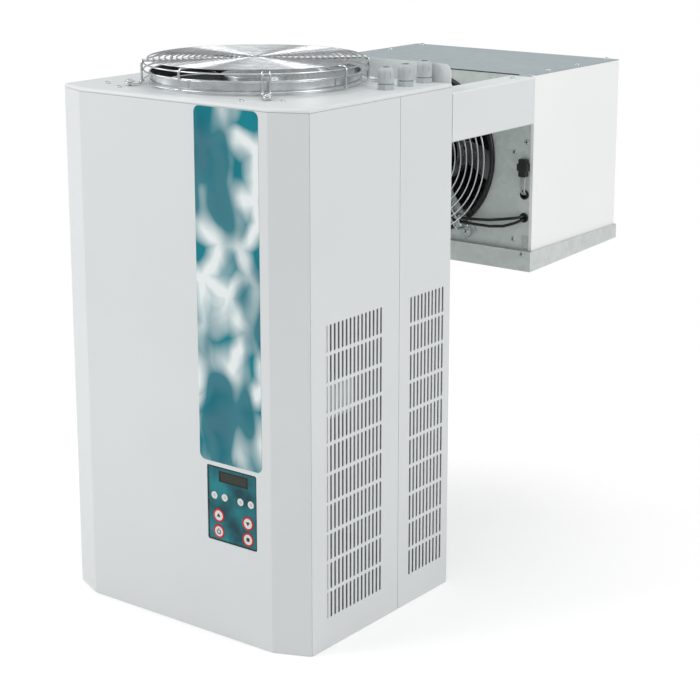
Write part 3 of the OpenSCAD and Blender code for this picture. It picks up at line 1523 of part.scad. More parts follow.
module lead(points, d, at) {
  translate(at) swept(turned(points, 14, 2), d, lead_sides);
}
module connector_leads() {
  color("#b9bdbf") for (w = plug_leads) lead(w, wire_d, [evap_x + cable_x, fan_plate_y, evap_fan_z]);
}
module fan_leads() {
  color(black) for (w = motor_leads) lead(w, lead_d, [evap_x, fan_plate_y, evap_fan_z]);
}

base_tray();
front_cover();
side_panel_right();
side_panel_left();
rear_casing();
rear_plate();
top_panel();
fan_collar();
top_guard();
guard_screws();
top_motor_bracket();
top_fan_motor();
top_fan();
condenser_fins();
condenser_tubes();
condenser_end_plates();
compressor();
compressor_grommets();
terminal_cover();
filter_drier();
discharge_pipe();
liquid_pipe();
suction_pipe();
suction_insulation();
electrical_box();
controller_housing();
controller_board();
control_panel();
display_window();
key_1();
key_2();
key_3();
key_4();
led_lenses();
decor_label();
gland_bodies();
gland_nuts();
gland_seals();
panel_screws();
arm_right();
arm_left();
saddle_plate();
evap_side_right();
evap_side_left();
evap_top();
evap_fan_plate();
evap_fan_ring();
evap_guard();
evap_motor_bracket();
evap_fan_motor();
evap_fan();
evap_fins();
evap_tubes();
evap_end_plates();
drip_tray();
tray_brackets();
cable_grommets();
plug_connector();
connector_leads();
fan_leads();
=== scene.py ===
# A monoblock refrigeration unit for a small cold room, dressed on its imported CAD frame.
import json
from math import cos, pi, radians, sin

import bmesh
import bpy
from mathutils import Matrix, Vector


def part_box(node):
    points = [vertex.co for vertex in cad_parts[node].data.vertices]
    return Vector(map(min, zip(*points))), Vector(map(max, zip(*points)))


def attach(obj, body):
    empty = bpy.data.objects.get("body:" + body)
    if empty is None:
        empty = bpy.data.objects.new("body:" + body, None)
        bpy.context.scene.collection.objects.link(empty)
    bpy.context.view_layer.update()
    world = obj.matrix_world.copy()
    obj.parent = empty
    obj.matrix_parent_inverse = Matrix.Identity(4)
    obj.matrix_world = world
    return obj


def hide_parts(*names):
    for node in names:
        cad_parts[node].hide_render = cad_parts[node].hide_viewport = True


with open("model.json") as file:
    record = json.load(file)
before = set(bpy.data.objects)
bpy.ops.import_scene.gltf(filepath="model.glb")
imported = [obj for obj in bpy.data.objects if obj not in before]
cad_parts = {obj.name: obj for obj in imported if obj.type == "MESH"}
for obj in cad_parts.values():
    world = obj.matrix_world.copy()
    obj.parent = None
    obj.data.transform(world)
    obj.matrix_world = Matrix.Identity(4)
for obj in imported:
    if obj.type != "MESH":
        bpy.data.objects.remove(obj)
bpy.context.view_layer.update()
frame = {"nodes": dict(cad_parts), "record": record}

# The studio: a pale sweep of floor, a white surround and four soft boxes.
# The camera stands where the photographer's did, right of the front corner and a little above.
FLOOR_HALF = 9.0
FLOOR_NEAR = 0.5
FLOOR_WHITE = 1.5
FLOOR_UNDER = 0.0006
FLOOR_TONE = 0.80
FLOOR_GLOW = 0.32
SKY_LIGHT = 0.50
CAMERA_AT = (1.5967, -1.8831, 1.0539)
CAMERA_YAW = 37.21
CAMERA_DOWN = 13.16
LENS_DROP = -0.12
PHOTO_PIXELS = 700
FOCAL_PIXELS = 1796.6


def linear(red, green, blue):
    """A colour read off as 0 to 255 on screen, turned into light."""
    def one(v):
        v = v / 255
        return v / 12.92 if v <= 0.04045 else ((v + 0.055) / 1.055) ** 2.4
    return (one(red), one(green), one(blue), 1.0)


def linked(name, data):
    """A new object on its data, put in the scene."""
    made = bpy.data.objects.new(name, data)
    bpy.context.collection.objects.link(made)
    return made


def wired(tree, *pairs):
    """Each output linked to the input beside it."""
    for source, target in pairs:
        tree.links.new(source, target)


def soft_box(name, place, aim, width, height, watts):
    """A broad lamp at a place, turned to what it lights."""
    lamp = bpy.data.lights.new(name, "AREA")
    lamp.shape = "RECTANGLE"
    lamp.size = width
    lamp.size_y = height
    lamp.energy = watts
    holder = linked(name, lamp)
    holder.location = place
    holder.rotation_euler = (Vector(aim) - Vector(place)).to_track_quat("-Z", "Y").to_euler()


camera_data = bpy.data.cameras.new("photo_camera")
camera_data.sensor_width = 36
camera_data.lens = camera_data.sensor_width * FOCAL_PIXELS / PHOTO_PIXELS
camera_data.clip_end = 100
camera_data.shift_y = LENS_DROP
camera = linked("photo_camera", camera_data)
camera.location = CAMERA_AT
camera.rotation_euler = (radians(90 - CAMERA_DOWN), 0, radians(CAMERA_YAW))
bpy.context.scene.camera = camera
bpy.context.scene.view_settings.view_transform = "Standard"

soft_box("key_box", (-2.6, -3.1, 2.7), (0, 0, 0.45), 2.4, 2.2, 74)
soft_box("side_box", (3.6, 0.6, 2.0), (0.1, 0.2, 0.5), 2.0, 2.4, 45)
soft_box("edge_box", (-3.4, -1.3, 1.3), (-0.2, -0.15, 0.4), 1.2, 1.8, 17)
soft_box("top_box", (0.2, 0.4, 3.6), (0.0, 0.1, 0.7), 2.6, 2.6, 30)

world = bpy.data.worlds.new("white_surround")
bpy.context.scene.world = world
world.use_nodes = True
sky = world.node_tree
sky.nodes.clear()
sky_ray = sky.nodes.new("ShaderNodeLightPath")
sky_seen = sky.nodes.new("ShaderNodeMath")
sky_seen.operation = "ADD"
sky_seen.use_clamp = True
sky_lit = sky.nodes.new("ShaderNodeBackground")
sky_lit.inputs["Color"].default_value = (1, 1, 1, 1)
sky_lit.inputs["Strength"].default_value = SKY_LIGHT
sky_shown = sky.nodes.new("ShaderNodeBackground")
sky_shown.inputs["Color"].default_value = (1, 1, 1, 1)
sky_shown.inputs["Strength"].default_value = 1.0
sky_mix = sky.nodes.new("ShaderNodeMixShader")
sky_out = sky.nodes.new("ShaderNodeOutputWorld")
wired(sky, (sky_ray.outputs["Is Camera Ray"], sky_seen.inputs[0]),
      (sky_ray.outputs["Is Transmission Ray"], sky_seen.inputs[1]),
      (sky_seen.outputs[0], sky_mix.inputs["Fac"]),
      (sky_lit.outputs[0], sky_mix.inputs[1]), (sky_shown.outputs[0], sky_mix.inputs[2]),
      (sky_mix.outputs[0], sky_out.inputs["Surface"]))

floor_mesh = bpy.data.meshes.new("floor")
floor_mesh.from_pydata(
    [(x * FLOOR_HALF, y * FLOOR_HALF, -FLOOR_UNDER) for x, y in ((-1, -1), (1, -1), (1, 1), (-1, 1))],
    [], [(0, 1, 2, 3)])
floor = linked("floor", floor_mesh)
floor_paint = bpy.data.materials.new("pale_floor")
floor_paint.use_nodes = True
pale = floor_paint.node_tree
pale.nodes.clear()
floor_ray = pale.nodes.new("ShaderNodeLightPath")
floor_matt = pale.nodes.new("ShaderNodeBsdfDiffuse")
floor_matt.inputs["Color"].default_value = (FLOOR_TONE, FLOOR_TONE, FLOOR_TONE, 1)
floor_glow = pale.nodes.new("ShaderNodeEmission")
floor_glow.inputs["Strength"].default_value = FLOOR_GLOW
floor_sum = pale.nodes.new("ShaderNodeAddShader")
floor_far = pale.nodes.new("ShaderNodeEmission")
floor_place = pale.nodes.new("ShaderNodeTexCoord")
floor_reach = pale.nodes.new("ShaderNodeVectorMath")
floor_reach.operation = "LENGTH"
floor_fade = pale.nodes.new("ShaderNodeMapRange")
floor_fade.inputs["From Min"].default_value = FLOOR_NEAR
floor_fade.inputs["From Max"].default_value = FLOOR_WHITE
floor_blend = pale.nodes.new("ShaderNodeMixShader")
floor_mix = pale.nodes.new("ShaderNodeMixShader")
floor_out = pale.nodes.new("ShaderNodeOutputMaterial")
wired(pale, (floor_matt.outputs[0], floor_sum.inputs[0]), (floor_glow.outputs[0], floor_sum.inputs[1]),
      (floor_place.outputs["Object"], floor_reach.inputs[0]),
      (floor_reach.outputs["Value"], floor_fade.inputs["Value"]),
      (floor_fade.outputs["Result"], floor_blend.inputs["Fac"]),
      (floor_sum.outputs[0], floor_blend.inputs[1]), (floor_far.outputs[0], floor_blend.inputs[2]),
      (floor_ray.outputs["Is Camera Ray"], floor_mix.inputs["Fac"]),
      (floor_matt.outputs[0], floor_mix.inputs[1]),
      (floor_blend.outputs[0], floor_mix.inputs[2]), (floor_mix.outputs[0], floor_out.inputs["Surface"]))
floor_mesh.materials.append(floor_paint)

# Base tray: a pressed zinc-coated pan that carries the compressor on four studs.
# Its folded lip shows through the lowest slots and from below.
BODY_OF = {node: body for body, held in frame["record"]["behaviour"]["bodies"].items() for node in held}
ZINC_PALE = linear(192, 201, 197)
ZINC_DARK = linear(160, 170, 165)
WELD = 0.000004


def shader(name):
    """A new material, its node tree and its Principled shader."""
    made = bpy.data.materials.new(name)
    made.use_nodes = True
    return made, made.node_tree, made.node_tree.nodes["Principled BSDF"]


def on_piece(tree, stretch=(1, 1, 1), shift=(0, 0, 0)):
    """Places on the piece in metres, stretched and shifted."""
    at = tree.nodes.new("ShaderNodeTexCoord")
    moved = tree.nodes.new("ShaderNodeMapping")
    moved.inputs["Scale"].default_value = stretch
    moved.inputs["Location"].default_value = shift
    tree.links.new(at.outputs["Object"], moved.inputs["Vector"])
    return moved.outputs["Vector"]


def cloud(tree, where, scale, detail=2.0):
    """Soft random patches, about 1/scale metres across."""
    made = tree.nodes.new("ShaderNodeTexNoise")
    made.inputs["Scale"].default_value = scale
    made.inputs["Detail"].default_value = detail
    tree.links.new(where, made.inputs["Vector"])
    return made.outputs["Fac"]


def between(tree, source, low, high, start=0.3, stop=0.7):
    """The source's range from start to stop, laid over low to high."""
    made = tree.nodes.new("ShaderNodeMapRange")
    tree.links.new(source, made.inputs["Value"])
    for label, value in (("From Min", start), ("From Max", stop), ("To Min", low), ("To Max", high)):
        made.inputs[label].default_value = value
    return made.outputs["Result"]


def mixed(tree, amount, first, second):
    """A colour between two, by an amount from 0 to 1; each is a colour or another node's output."""
    made = tree.nodes.new("ShaderNodeMix")
    made.data_type = "RGBA"
    tree.links.new(amount, made.inputs["Factor"])
    ends = [socket for socket in made.inputs if socket.type == "RGBA"]
    for socket, colour in zip(ends, (first, second)):
        if isinstance(colour, tuple):
            socket.default_value = colour
        else:
            tree.links.new(colour, socket)
    return [socket for socket in made.outputs if socket.type == "RGBA"][0]


def relief(tree, skin, height, depth):
    """Fine relief on the surface, depth metres high."""
    made = tree.nodes.new("ShaderNodeBump")
    made.inputs["Distance"].default_value = depth
    tree.links.new(height, made.inputs["Height"])
    tree.links.new(made.outputs["Normal"], skin.inputs["Normal"])


def zinc_sheet(name, pale, dark, shine, dull):
    """Hot-dip zinc: faint crystal flakes, cloudy wear and a soft metal gloss."""
    made, tree, skin = shader(name)
    where = on_piece(tree)
    flakes = tree.nodes.new("ShaderNodeTexVoronoi")
    flakes.inputs["Scale"].default_value = 110
    tree.links.new(where, flakes.inputs["Vector"])
    patches = cloud(tree, where, 9, 4)
    grey = tree.nodes.new("ShaderNodeSeparateColor")
    tree.links.new(flakes.outputs["Color"], grey.inputs["Color"])
    tone = mixed(tree, between(tree, grey.outputs["Red"], 0.0, 1.0, 0.0, 1.0), pale, dark)
    tree.links.new(mixed(tree, between(tree, patches, 0.25, 0.75), tone, pale), skin.inputs["Base Color"])
    tree.links.new(between(tree, patches, dull - 0.06, dull + 0.08), skin.inputs["Roughness"])
    skin.inputs["Metallic"].default_value = shine
    relief(tree, skin, cloud(tree, where, 240), 0.00002)
    return made


def sheet_piece(node, paint, edge, folds=(), smooth=True):
    """A CAD sheet as one skin: long folds rounded, cut edges eased and flat faces shaded flat."""
    work = bmesh.new()
    work.from_mesh(frame["nodes"][node].data)
    bmesh.ops.remove_doubles(work, verts=work.verts, dist=WELD)
    bmesh.ops.dissolve_limit(work, angle_limit=radians(0.6), verts=work.verts, edges=work.edges)
    for axis, least, radius in folds:
        bent = []
        for one in work.edges:
            run = one.verts[1].co - one.verts[0].co
            if run.length > least and abs(run.normalized()[axis]) > 0.999 and len(one.link_faces) == 2:
                if radians(12) < one.calc_face_angle(0) < radians(75):
                    bent.append(one)
        bmesh.ops.bevel(work, geom=bent, offset=radius, offset_type="OFFSET", segments=5, profile=0.5,
                        affect="EDGES", clamp_overlap=True)
    for face in work.faces:
        face.smooth = smooth
    mesh = bpy.data.meshes.new(node + "_skin")
    work.to_mesh(mesh)
    work.free()
    mesh.materials.append(paint)
    made = linked(node + "_skin", mesh)
    if edge:
        ease = made.modifiers.new("eased_edges", "BEVEL")
        ease.width = edge
        ease.segments = 2
        ease.limit_method = "ANGLE"
        ease.angle_limit = radians(38)
        ease.harden_normals = True
        ease.use_clamp_overlap = True
    if smooth:
        flat = made.modifiers.new("flat_faces", "WEIGHTED_NORMAL")
        flat.weight = 90
        flat.keep_sharp = True
    return stands_for(made, node)


def stands_for(made, *nodes):
    """The piece rides on the body of the CAD pieces that it stands for, which are hidden."""
    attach(made, BODY_OF[nodes[0]])
    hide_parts(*nodes)
    return made


def rides_with(made, node):
    """A detail in the scene alone, carried by a CAD piece's body."""
    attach(made, BODY_OF[node])


zinc = zinc_sheet("zinc_sheet", ZINC_PALE, ZINC_DARK, 0.55, 0.44)
sheet_piece("base_tray", zinc, 0.0004)

# Compressor: a domed steel shell in black paint on rubber feet, with a moulded cap over its terminals.
# It stands in the tray, and is glimpsed through the side slots.
BLACK_PAINT = linear(30, 31, 33)
BLACK_MOULDING = linear(22, 23, 24)


def black_finish(name, colour, dull, grain):
    """Black paint, moulding or rubber, by how dull it is and how fine its grain."""
    made, tree, skin = shader(name)
    where = on_piece(tree)
    patches = cloud(tree, where, 30, 3)
    lighter = tuple(min(1.0, 1.9 * v) for v in colour[:3]) + (1.0,)
    tree.links.new(mixed(tree, between(tree, patches, 0.0, 1.0), colour, lighter), skin.inputs["Base Color"])
    tree.links.new(between(tree, patches, dull - 0.06, dull + 0.08), skin.inputs["Roughness"])
    relief(tree, skin, cloud(tree, where, grain), 0.00003)
    return made


black_paint = black_finish("black_paint", BLACK_PAINT, 0.34, 700)
black_moulding = black_finish("black_moulding", BLACK_MOULDING, 0.42, 1500)
black_rubber = black_finish("black_rubber", BLACK_MOULDING, 0.66, 900)
sheet_piece("compressor", black_paint, 0.0006)
sheet_piece("compressor_grommets", black_rubber, 0.0005)
sheet_piece("terminal_cover", black_moulding, 0.001)

# Copper circuit: drawn tubes brazed end to end, with a spun filter drier in the liquid line.
# The suction line wears a sleeve of black foam where it crosses the wall.
COPPER_BRIGHT = linear(200, 128, 92)
COPPER_DULL = linear(140, 84, 62)


def metal_finish(name, pale, dark, grain, detail, dull, shine):
    """Bare metal, stained between two tones; dull is its least and its most roughness."""
    made, tree, skin = shader(name)
    stain = cloud(tree, on_piece(tree), grain, detail)
    tree.links.new(mixed(tree, between(tree, stain, 0.0, 1.0), pale, dark), skin.inputs["Base Color"])
    tree.links.new(between(tree, stain, *dull), skin.inputs["Roughness"])
    skin.inputs["Metallic"].default_value = shine
    return made


def round_run(node, paint, swell):
    """A faceted CAD tube made round: merged, swelled by what smoothing takes off it, and subdivided."""
    work = bmesh.new()
    work.from_mesh(frame["nodes"][node].data)
    bmesh.ops.remove_doubles(work, verts=work.verts, dist=WELD)
    bmesh.ops.join_triangles(work, faces=work.faces, angle_face_threshold=radians(20),
                             angle_shape_threshold=radians(60))
    work.normal_update()
    for corner in work.verts:
        corner.co += corner.normal * swell
    for face in work.faces:
        face.smooth = True
    mesh = bpy.data.meshes.new(node + "_run")
    work.to_mesh(mesh)
    work.free()
    mesh.materials.append(paint)
    made = linked(node + "_run", mesh)
    rounded = made.modifiers.new("rounded", "SUBSURF")
    rounded.levels = 1
    rounded.render_levels = 1
    return stands_for(made, node)


copper = metal_finish("drawn_copper", COPPER_BRIGHT, COPPER_DULL, 34, 4, (0.24, 0.46), 1.0)
for run, swell in (("discharge_pipe", 0.0002), ("liquid_pipe", 0.0002), ("suction_pipe", 0.0003)):
    round_run(run, copper, swell)
sheet_piece("filter_drier", copper, 0.0004)
foam = black_finish("closed_cell_foam", linear(34, 34, 36), 0.86, 420)
sheet_piece("suction_insulation", foam, 0.0006)

# Finned coils: aluminium fins pressed on rows of copper tubes, held between zinc end plates.
# The condenser lies flat under its fan; the evaporator stands at the back, open to the room.
FIN_PITCH = 0.0031
FIN_THICK = 0.00022
WAVE_DEEP = 0.0007
WAVES = 6


def node_group(name, result, inputs):
    """An empty Geometry Nodes tree with named inputs, its maker of nodes and its inputs' sockets."""
    tree = bpy.data.node_groups.new(name, "GeometryNodeTree")
    tree.interface.new_socket(result, in_out="OUTPUT", socket_type="NodeSocketGeometry")
    for label, kind in inputs.items():
        tree.interface.new_socket(label, in_out="INPUT", socket_type="NodeSocket" + kind)
    return tree, tree.nodes.new, tree.nodes.new("NodeGroupInput").outputs


def fin_tree():
    """Thin waved fins side by side along X."""
    tree, new, given = node_group("fin_pack", "Fins", {
        "Count": "Int", "Start": "Vector", "Pitch": "Vector", "Fin": "Object", "Finish": "Material"})
    row = new("GeometryNodeMeshLine")
    one = new("GeometryNodeObjectInfo")
    spread = new("GeometryNodeInstanceOnPoints")
    solid = new("GeometryNodeRealizeInstances")
    paint = new("GeometryNodeSetMaterial")
    out = new("NodeGroupOutput")
    wired(tree, (given["Count"], row.inputs["Count"]), (given["Start"], row.inputs["Start Location"]),
          (given["Pitch"], row.inputs["Offset"]), (given["Fin"], one.inputs["Object"]),
          (row.outputs[0], spread.inputs["Points"]), (one.outputs["Geometry"], spread.inputs["Instance"]),
          (spread.outputs[0], solid.inputs[0]), (solid.outputs[0], paint.inputs["Geometry"]),
          (given["Finish"], paint.inputs["Material"]), (paint.outputs[0], out.inputs[0]))
    return tree


def grown(name, tree, values, points=()):
    """The plain mesh that a tree grows from its named inputs, on points where it needs them."""
    seed_mesh = bpy.data.meshes.new(name + "_seed")
    seed_mesh.from_pydata([tuple(at[:3]) for at in points], [], [])
    if points and len(points[0]) > 3:
        facing = seed_mesh.attributes.new("facing", "FLOAT_VECTOR", "POINT")
        for i, at in enumerate(points):
            facing.data[i].vector = at[3:6]
    seed = linked(name + "_seed", seed_mesh)
    grow = seed.modifiers.new("grow", "NODES")
    grow.node_group = tree
    for item in tree.interface.items_tree:
        if item.in_out == "INPUT" and item.name in values:
            grow[item.identifier] = values[item.name]
    seed.update_tag()
    seen = bpy.context.evaluated_depsgraph_get()
    mesh = bpy.data.meshes.new_from_object(seed.evaluated_get(seen), depsgraph=seen)
    seed.modifiers.remove(grow)
    bpy.data.objects.remove(seed)
    mesh.name = name
    return linked(name, mesh)


def plain_piece(name, points, faces, paint=None, smooth_angle=35):
    """A closed mesh from points and faces: doubles merged, faces outward, round edges smooth."""
    mesh = bpy.data.meshes.new(name)
    mesh.from_pydata([tuple(p) for p in points], [], faces)
    work = bmesh.new()
    work.from_mesh(mesh)
    bmesh.ops.remove_doubles(work, verts=work.verts, dist=WELD / 2)
    bmesh.ops.recalc_face_normals(work, faces=work.faces)
    for face in work.faces:
        face.smooth = True
    for edge in work.edges:
        edge.smooth = len(edge.link_faces) == 2 and edge.calc_face_angle(0) < radians(smooth_angle)
    work.to_mesh(mesh)
    work.free()
    if paint:
        mesh.materials.append(paint)
    return linked(name, mesh)


def waved_fin(name, low, high, along):
    """One fin between two corners, waved along Y or Z, a hair thick."""
    steps = 2 * WAVES
    points = []
    for side in (-0.5, 0.5):
        for i in range(steps + 1):
            share = i / steps
            wave = WAVE_DEEP * (0.5 if i % 2 else -0.5)
            for j in (0, 1):
                y = low[1] + (high[1] - low[1]) * (share if along == 1 else j)
                z = low[2] + (high[2] - low[2]) * (j if along == 1 else share)
                points.append((wave + side * FIN_THICK, y, z))
    half = 2 * (steps + 1)
    faces = []
    for i in range(steps):
        a = 2 * i
        faces.append((a, a + 1, a + 3, a + 2))
        faces.append((half + a, half + a + 2, half + a + 3, half + a + 1))
        faces.append((a, a + 2, half + a + 2, half + a))
        faces.append((a + 1, half + a + 1, half + a + 3, a + 3))
    faces.append((0, half, half + 1, 1))
    faces.append((2 * steps, 2 * steps + 1, half + 2 * steps + 1, half + 2 * steps))
    return plain_piece(name, points, faces, smooth_angle=5)


aluminium = metal_finish(
    "fin_aluminium", linear(206, 210, 212), linear(170, 175, 178), 26, 3, (0.3, 0.5), 0.85)
fin_pack = fin_tree()
for coil, along in (("condenser", 1), ("evap", 2)):
    fins = coil + "_fins"
    low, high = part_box(fins)
    fin = waved_fin(coil + "_fin", low, high, along)
    count = int((high[0] - low[0] - WAVE_DEEP) / FIN_PITCH)
    pitch = (high[0] - low[0] - WAVE_DEEP - FIN_THICK) / count
    pack = grown(fins + "_pack", fin_pack, {
        "Count": count + 1, "Start": (low[0] + (WAVE_DEEP + FIN_THICK) / 2, 0, 0),
        "Pitch": (pitch, 0, 0), "Fin": fin, "Finish": aluminium})
    bpy.data.objects.remove(fin)
    stands_for(pack, fins)
    sheet_piece(coil + "_tubes", copper, 0)
    sheet_piece(coil + "_end_plates", zinc, 0.0003)

# Electrical box: relays and terminals in a painted steel case with round corners, on a folded leg.
# It stands behind the right side's slots.
WHITE_FRONT = linear(226, 230, 230)


def powder_coat(name, colour, dull):
    """Baked powder paint: even colour with a faint cloud, and the fine orange peel of the coat."""
    made, tree, skin = shader(name)
    where = on_piece(tree)
    patches = cloud(tree, where, 4, 2)
    shade = tuple(0.965 * v for v in colour[:3]) + (1.0,)
    tree.links.new(mixed(tree, between(tree, patches, 0.0, 1.0), colour, shade), skin.inputs["Base Color"])
    tree.links.new(between(tree, patches, dull - 0.04, dull + 0.05), skin.inputs["Roughness"])
    skin.inputs["Specular IOR Level"].default_value = 0.42
    relief(tree, skin, cloud(tree, where, 620), 0.000012)
    return made


white_coat = powder_coat("white_powder_coat", WHITE_FRONT, 0.40)
sheet_piece("electrical_box", white_coat, 0.0008)

# Cabinet: front cover, two side panels and a rear casing, folded from painted sheet.
# The side panels and the casing have fields of punched slots; thin seams part them.
for slotted in ("rear_casing", "side_panel_right", "side_panel_left"):
    sheet_piece(slotted, white_coat, 0.00025)
sheet_piece("front_cover", white_coat, 0.0004, folds=((2, 0.4, 0.0042),))
sheet_piece("rear_plate", white_coat, 0.0005)

# Control panel: a teal film over a moulded faceplate behind the cover's window, darkened round its edge by a
# band of painted shade for the window's recess.
# Behind it stand the controller's housing and its board.
PANEL_MID = (0.0975, 0.19025)
PANEL_HALF = (0.0435, 0.05325)
PANEL_DEEP = linear(4, 66, 78)
PANEL_LIGHT = linear(30, 138, 146)
PANEL_RECESS_SHADE = linear(16, 30, 36)
PANEL_SHADE_BAND = (-0.0030, -0.0012)

film, film_tree, film_skin = shader("panel_film")
film_where = on_piece(film_tree)
film_cloud = cloud(film_tree, film_where, 26, 3)
film_skin.inputs["Specular IOR Level"].default_value = 0.2
film_tone = mixed(film_tree, between(film_tree, film_cloud, 0.0, 1.0, 0.35, 0.75), PANEL_DEEP, PANEL_LIGHT)


def reckon(tree, how, first, second):
    """One sum of two values; each is a number or another node's output."""
    made = tree.nodes.new("ShaderNodeMath")
    made.operation = how
    for socket, value in zip(made.inputs, (first, second)):
        if isinstance(value, (int, float)):
            socket.default_value = value
        else:
            tree.links.new(value, socket)
    return made.outputs[0]


def out_of(tree, place, middle, half):
    """How far a place is from the middle of a span, less half the span."""
    away = reckon(tree, "ABSOLUTE", reckon(tree, "SUBTRACT", place, middle), 0.0)
    return reckon(tree, "SUBTRACT", away, half)


def past_edge(tree, where, middle, half):
    """How far a place on the front is outside a rectangle, less than zero inside it."""
    parted = tree.nodes.new("ShaderNodeSeparateXYZ")
    tree.links.new(where, parted.inputs[0])
    return reckon(tree, "MAXIMUM", out_of(tree, parted.outputs[0], middle[0], half[0]),
                  out_of(tree, parted.outputs[2], middle[1], half[1]))


# Painted shade: within a few millimetres of the film's edge its colour runs to near black, standing in for
# the shadow of the cover's recess.
film_edge = past_edge(film_tree, film_where, PANEL_MID, PANEL_HALF)
film_recess_shade = between(film_tree, film_edge, 0.0, 1.0, *PANEL_SHADE_BAND)
film_gloss = between(film_tree, cloud(film_tree, film_where, 90), 0.20, 0.30)
wired(film_tree, (mixed(film_tree, film_recess_shade, film_tone, PANEL_RECESS_SHADE), film_skin.inputs["Base Color"]),
      (film_gloss, film_skin.inputs["Roughness"]))
film_skin.inputs["Coat Weight"].default_value = 0.25
film_skin.inputs["Coat Roughness"].default_value = 0.1
sheet_piece("control_panel", film, 0.0002)
sheet_piece("controller_housing", black_moulding, 0.0005)
board = black_finish("green_board", linear(30, 92, 52), 0.42, 800)
sheet_piece("controller_board", board, 0.0002)

# Display: a smoked pane, flush with the film, with a slim dark frame printed round its window.
pane, pane_tree, pane_skin = shader("smoked_pane")
pane_where = on_piece(pane_tree)
pane_low, pane_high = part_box("display_window")
pane_mid = ((pane_low[0] + pane_high[0]) / 2, (pane_low[2] + pane_high[2]) / 2)
PANE_HALF = (0.0215, 0.0052)
PANE_SOFT = 0.0004
PANE_GLASS = linear(38, 44, 30)
PANE_DARK = linear(15, 17, 18)
pane_edge = past_edge(pane_tree, pane_where, pane_mid, PANE_HALF)
pane_frame = between(pane_tree, pane_edge, 0.0, 1.0, -PANE_SOFT, PANE_SOFT)
pane_tone = mixed(pane_tree, pane_frame, PANE_GLASS, PANE_DARK)
pane_gloss = between(pane_tree, cloud(pane_tree, pane_where, 200), 0.08, 0.14)
wired(pane_tree, (pane_tone, pane_skin.inputs["Base Color"]), (pane_gloss, pane_skin.inputs["Roughness"]))
sheet_piece("display_window", pane, 0.0002)

# Keys: white caps in raised red rings, each with one plain dark sign, on plungers over the board.
# They read up, down, standby and stop.
KEY_R = 0.0097
KEY_RING = 0.0029
KEY_PROUD = 0.0006
KEY_FLANGE = 0.0012
KEY_LAND = 0.0011
SIGN_DEEP = 0.00012
key_red = powder_coat("key_red", linear(196, 40, 48), 0.34)
key_white = powder_coat("key_white", linear(228, 226, 222), 0.38)
sign_dark = powder_coat("sign_ink", linear(58, 40, 46), 0.5)
SIGNS = {
    "key_1": [[(-0.0034, -0.0020), (0.0034, -0.0020), (0.0, 0.0034)]],
    "key_2": [[(-0.0034, 0.0020), (0.0, -0.0034), (0.0034, 0.0020)]],
    "key_3": [[(-0.0007, 0.0006), (0.0007, 0.0006), (0.0007, 0.0042), (-0.0007, 0.0042)],
              [(0.0036 * cos(radians(a)), 0.0036 * sin(radians(a)) - 0.0004) for a in range(50, -231, -20)]
              + [(0.0024 * cos(radians(a)), 0.0024 * sin(radians(a)) - 0.0004) for a in range(-230, 51, 20)]],
    "key_4": [[(-0.0026, -0.0026), (0.0026, -0.0026), (0.0026, 0.0026), (-0.0026, 0.0026)]],
}


def lathed(profile, steps):
    """Points and faces of a profile of (radius, height) pairs turned about Z, closed at its ends."""
    points, faces = [], []
    for radius, height in profile:
        for j in range(steps):
            turn = 2 * pi * j / steps
            points.append(Vector((radius * cos(turn), radius * sin(turn), height)))
    for i in range(len(profile) - 1):
        for j in range(steps):
            k = (j + 1) % steps
            faces.append((i * steps + j, i * steps + k, (i + 1) * steps + k, (i + 1) * steps + j))
    if profile[0][0] > 0:
        faces.append(tuple(reversed(range(steps))))
    if profile[-1][0] > 0:
        faces.append(tuple(range((len(profile) - 1) * steps, len(profile) * steps)))
    return points, [tuple(dict.fromkeys(face)) for face in faces]


def joined(*parts):
    """Several (points, faces) pairs as one."""
    points, faces = [], []
    for some, few in parts:
        base = len(points)
        points.extend(some)
        faces.extend(tuple(base + i for i in face) for face in few)
    return points, faces


def placed(part, turn, at):
    """A (points, faces) pair turned by a matrix and moved."""
    points, faces = part
    return [turn @ Vector(p) + Vector(at) for p in points], faces


FACES_FRONT = Matrix.Rotation(radians(90), 3, "X")
for key, outlines in SIGNS.items():
    key_low, key_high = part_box(key)
    key_mid = ((key_low[0] + key_high[0]) / 2, (key_low[2] + key_high[2]) / 2)
    face_y = key_low[1] + KEY_PROUD
    face_at = (key_mid[0], face_y, key_mid[1])
    inner = KEY_R - KEY_RING
    cap = lathed([
        (0, face_y - key_high[1]), (KEY_R + KEY_LAND, face_y - key_high[1]),
        (KEY_R + KEY_LAND, face_y - key_high[1] + KEY_FLANGE), (KEY_R, face_y - key_high[1] + KEY_FLANGE),
        (KEY_R, 0.0002), (KEY_R - 0.00018, 0.00046), (KEY_R - 0.0006, KEY_PROUD - 0.00004),
        (inner + 0.0009, KEY_PROUD - 0.00004), (inner + 0.0003, 0.0004), (inner, 0.0002),
        (inner - 0.0006, 0.00018), (inner * 0.6, 0.00034), (inner * 0.3, 0.0004), (0, 0.00042)], 56)
    strokes = []
    for outline in outlines:
        count = len(outline)
        skin = [Vector((x, z, 0.00026)) for x, z in outline]
        skin += [Vector((x, z, 0.00042 + SIGN_DEEP)) for x, z in outline]
        walls = [(i, (i + 1) % count, count + (i + 1) % count, count + i) for i in range(count)]
        strokes.append((skin, walls + [tuple(range(count, 2 * count)), tuple(reversed(range(count)))]))
    cap_piece = plain_piece(key + "_cap", *placed(cap, FACES_FRONT, face_at), key_red)
    cap_piece.data.materials.append(key_white)
    for face in cap_piece.data.polygons:
        reach = (Vector((face.center.x, face.center.z)) - Vector(key_mid)).length
        if reach < inner + 0.0002 and face.center.y < face_y:
            face.material_index = 1
    stands_for(cap_piece, key)
    sign = plain_piece(key + "_sign", *placed(joined(*strokes), FACES_FRONT, face_at), sign_dark)
    rides_with(sign, key)
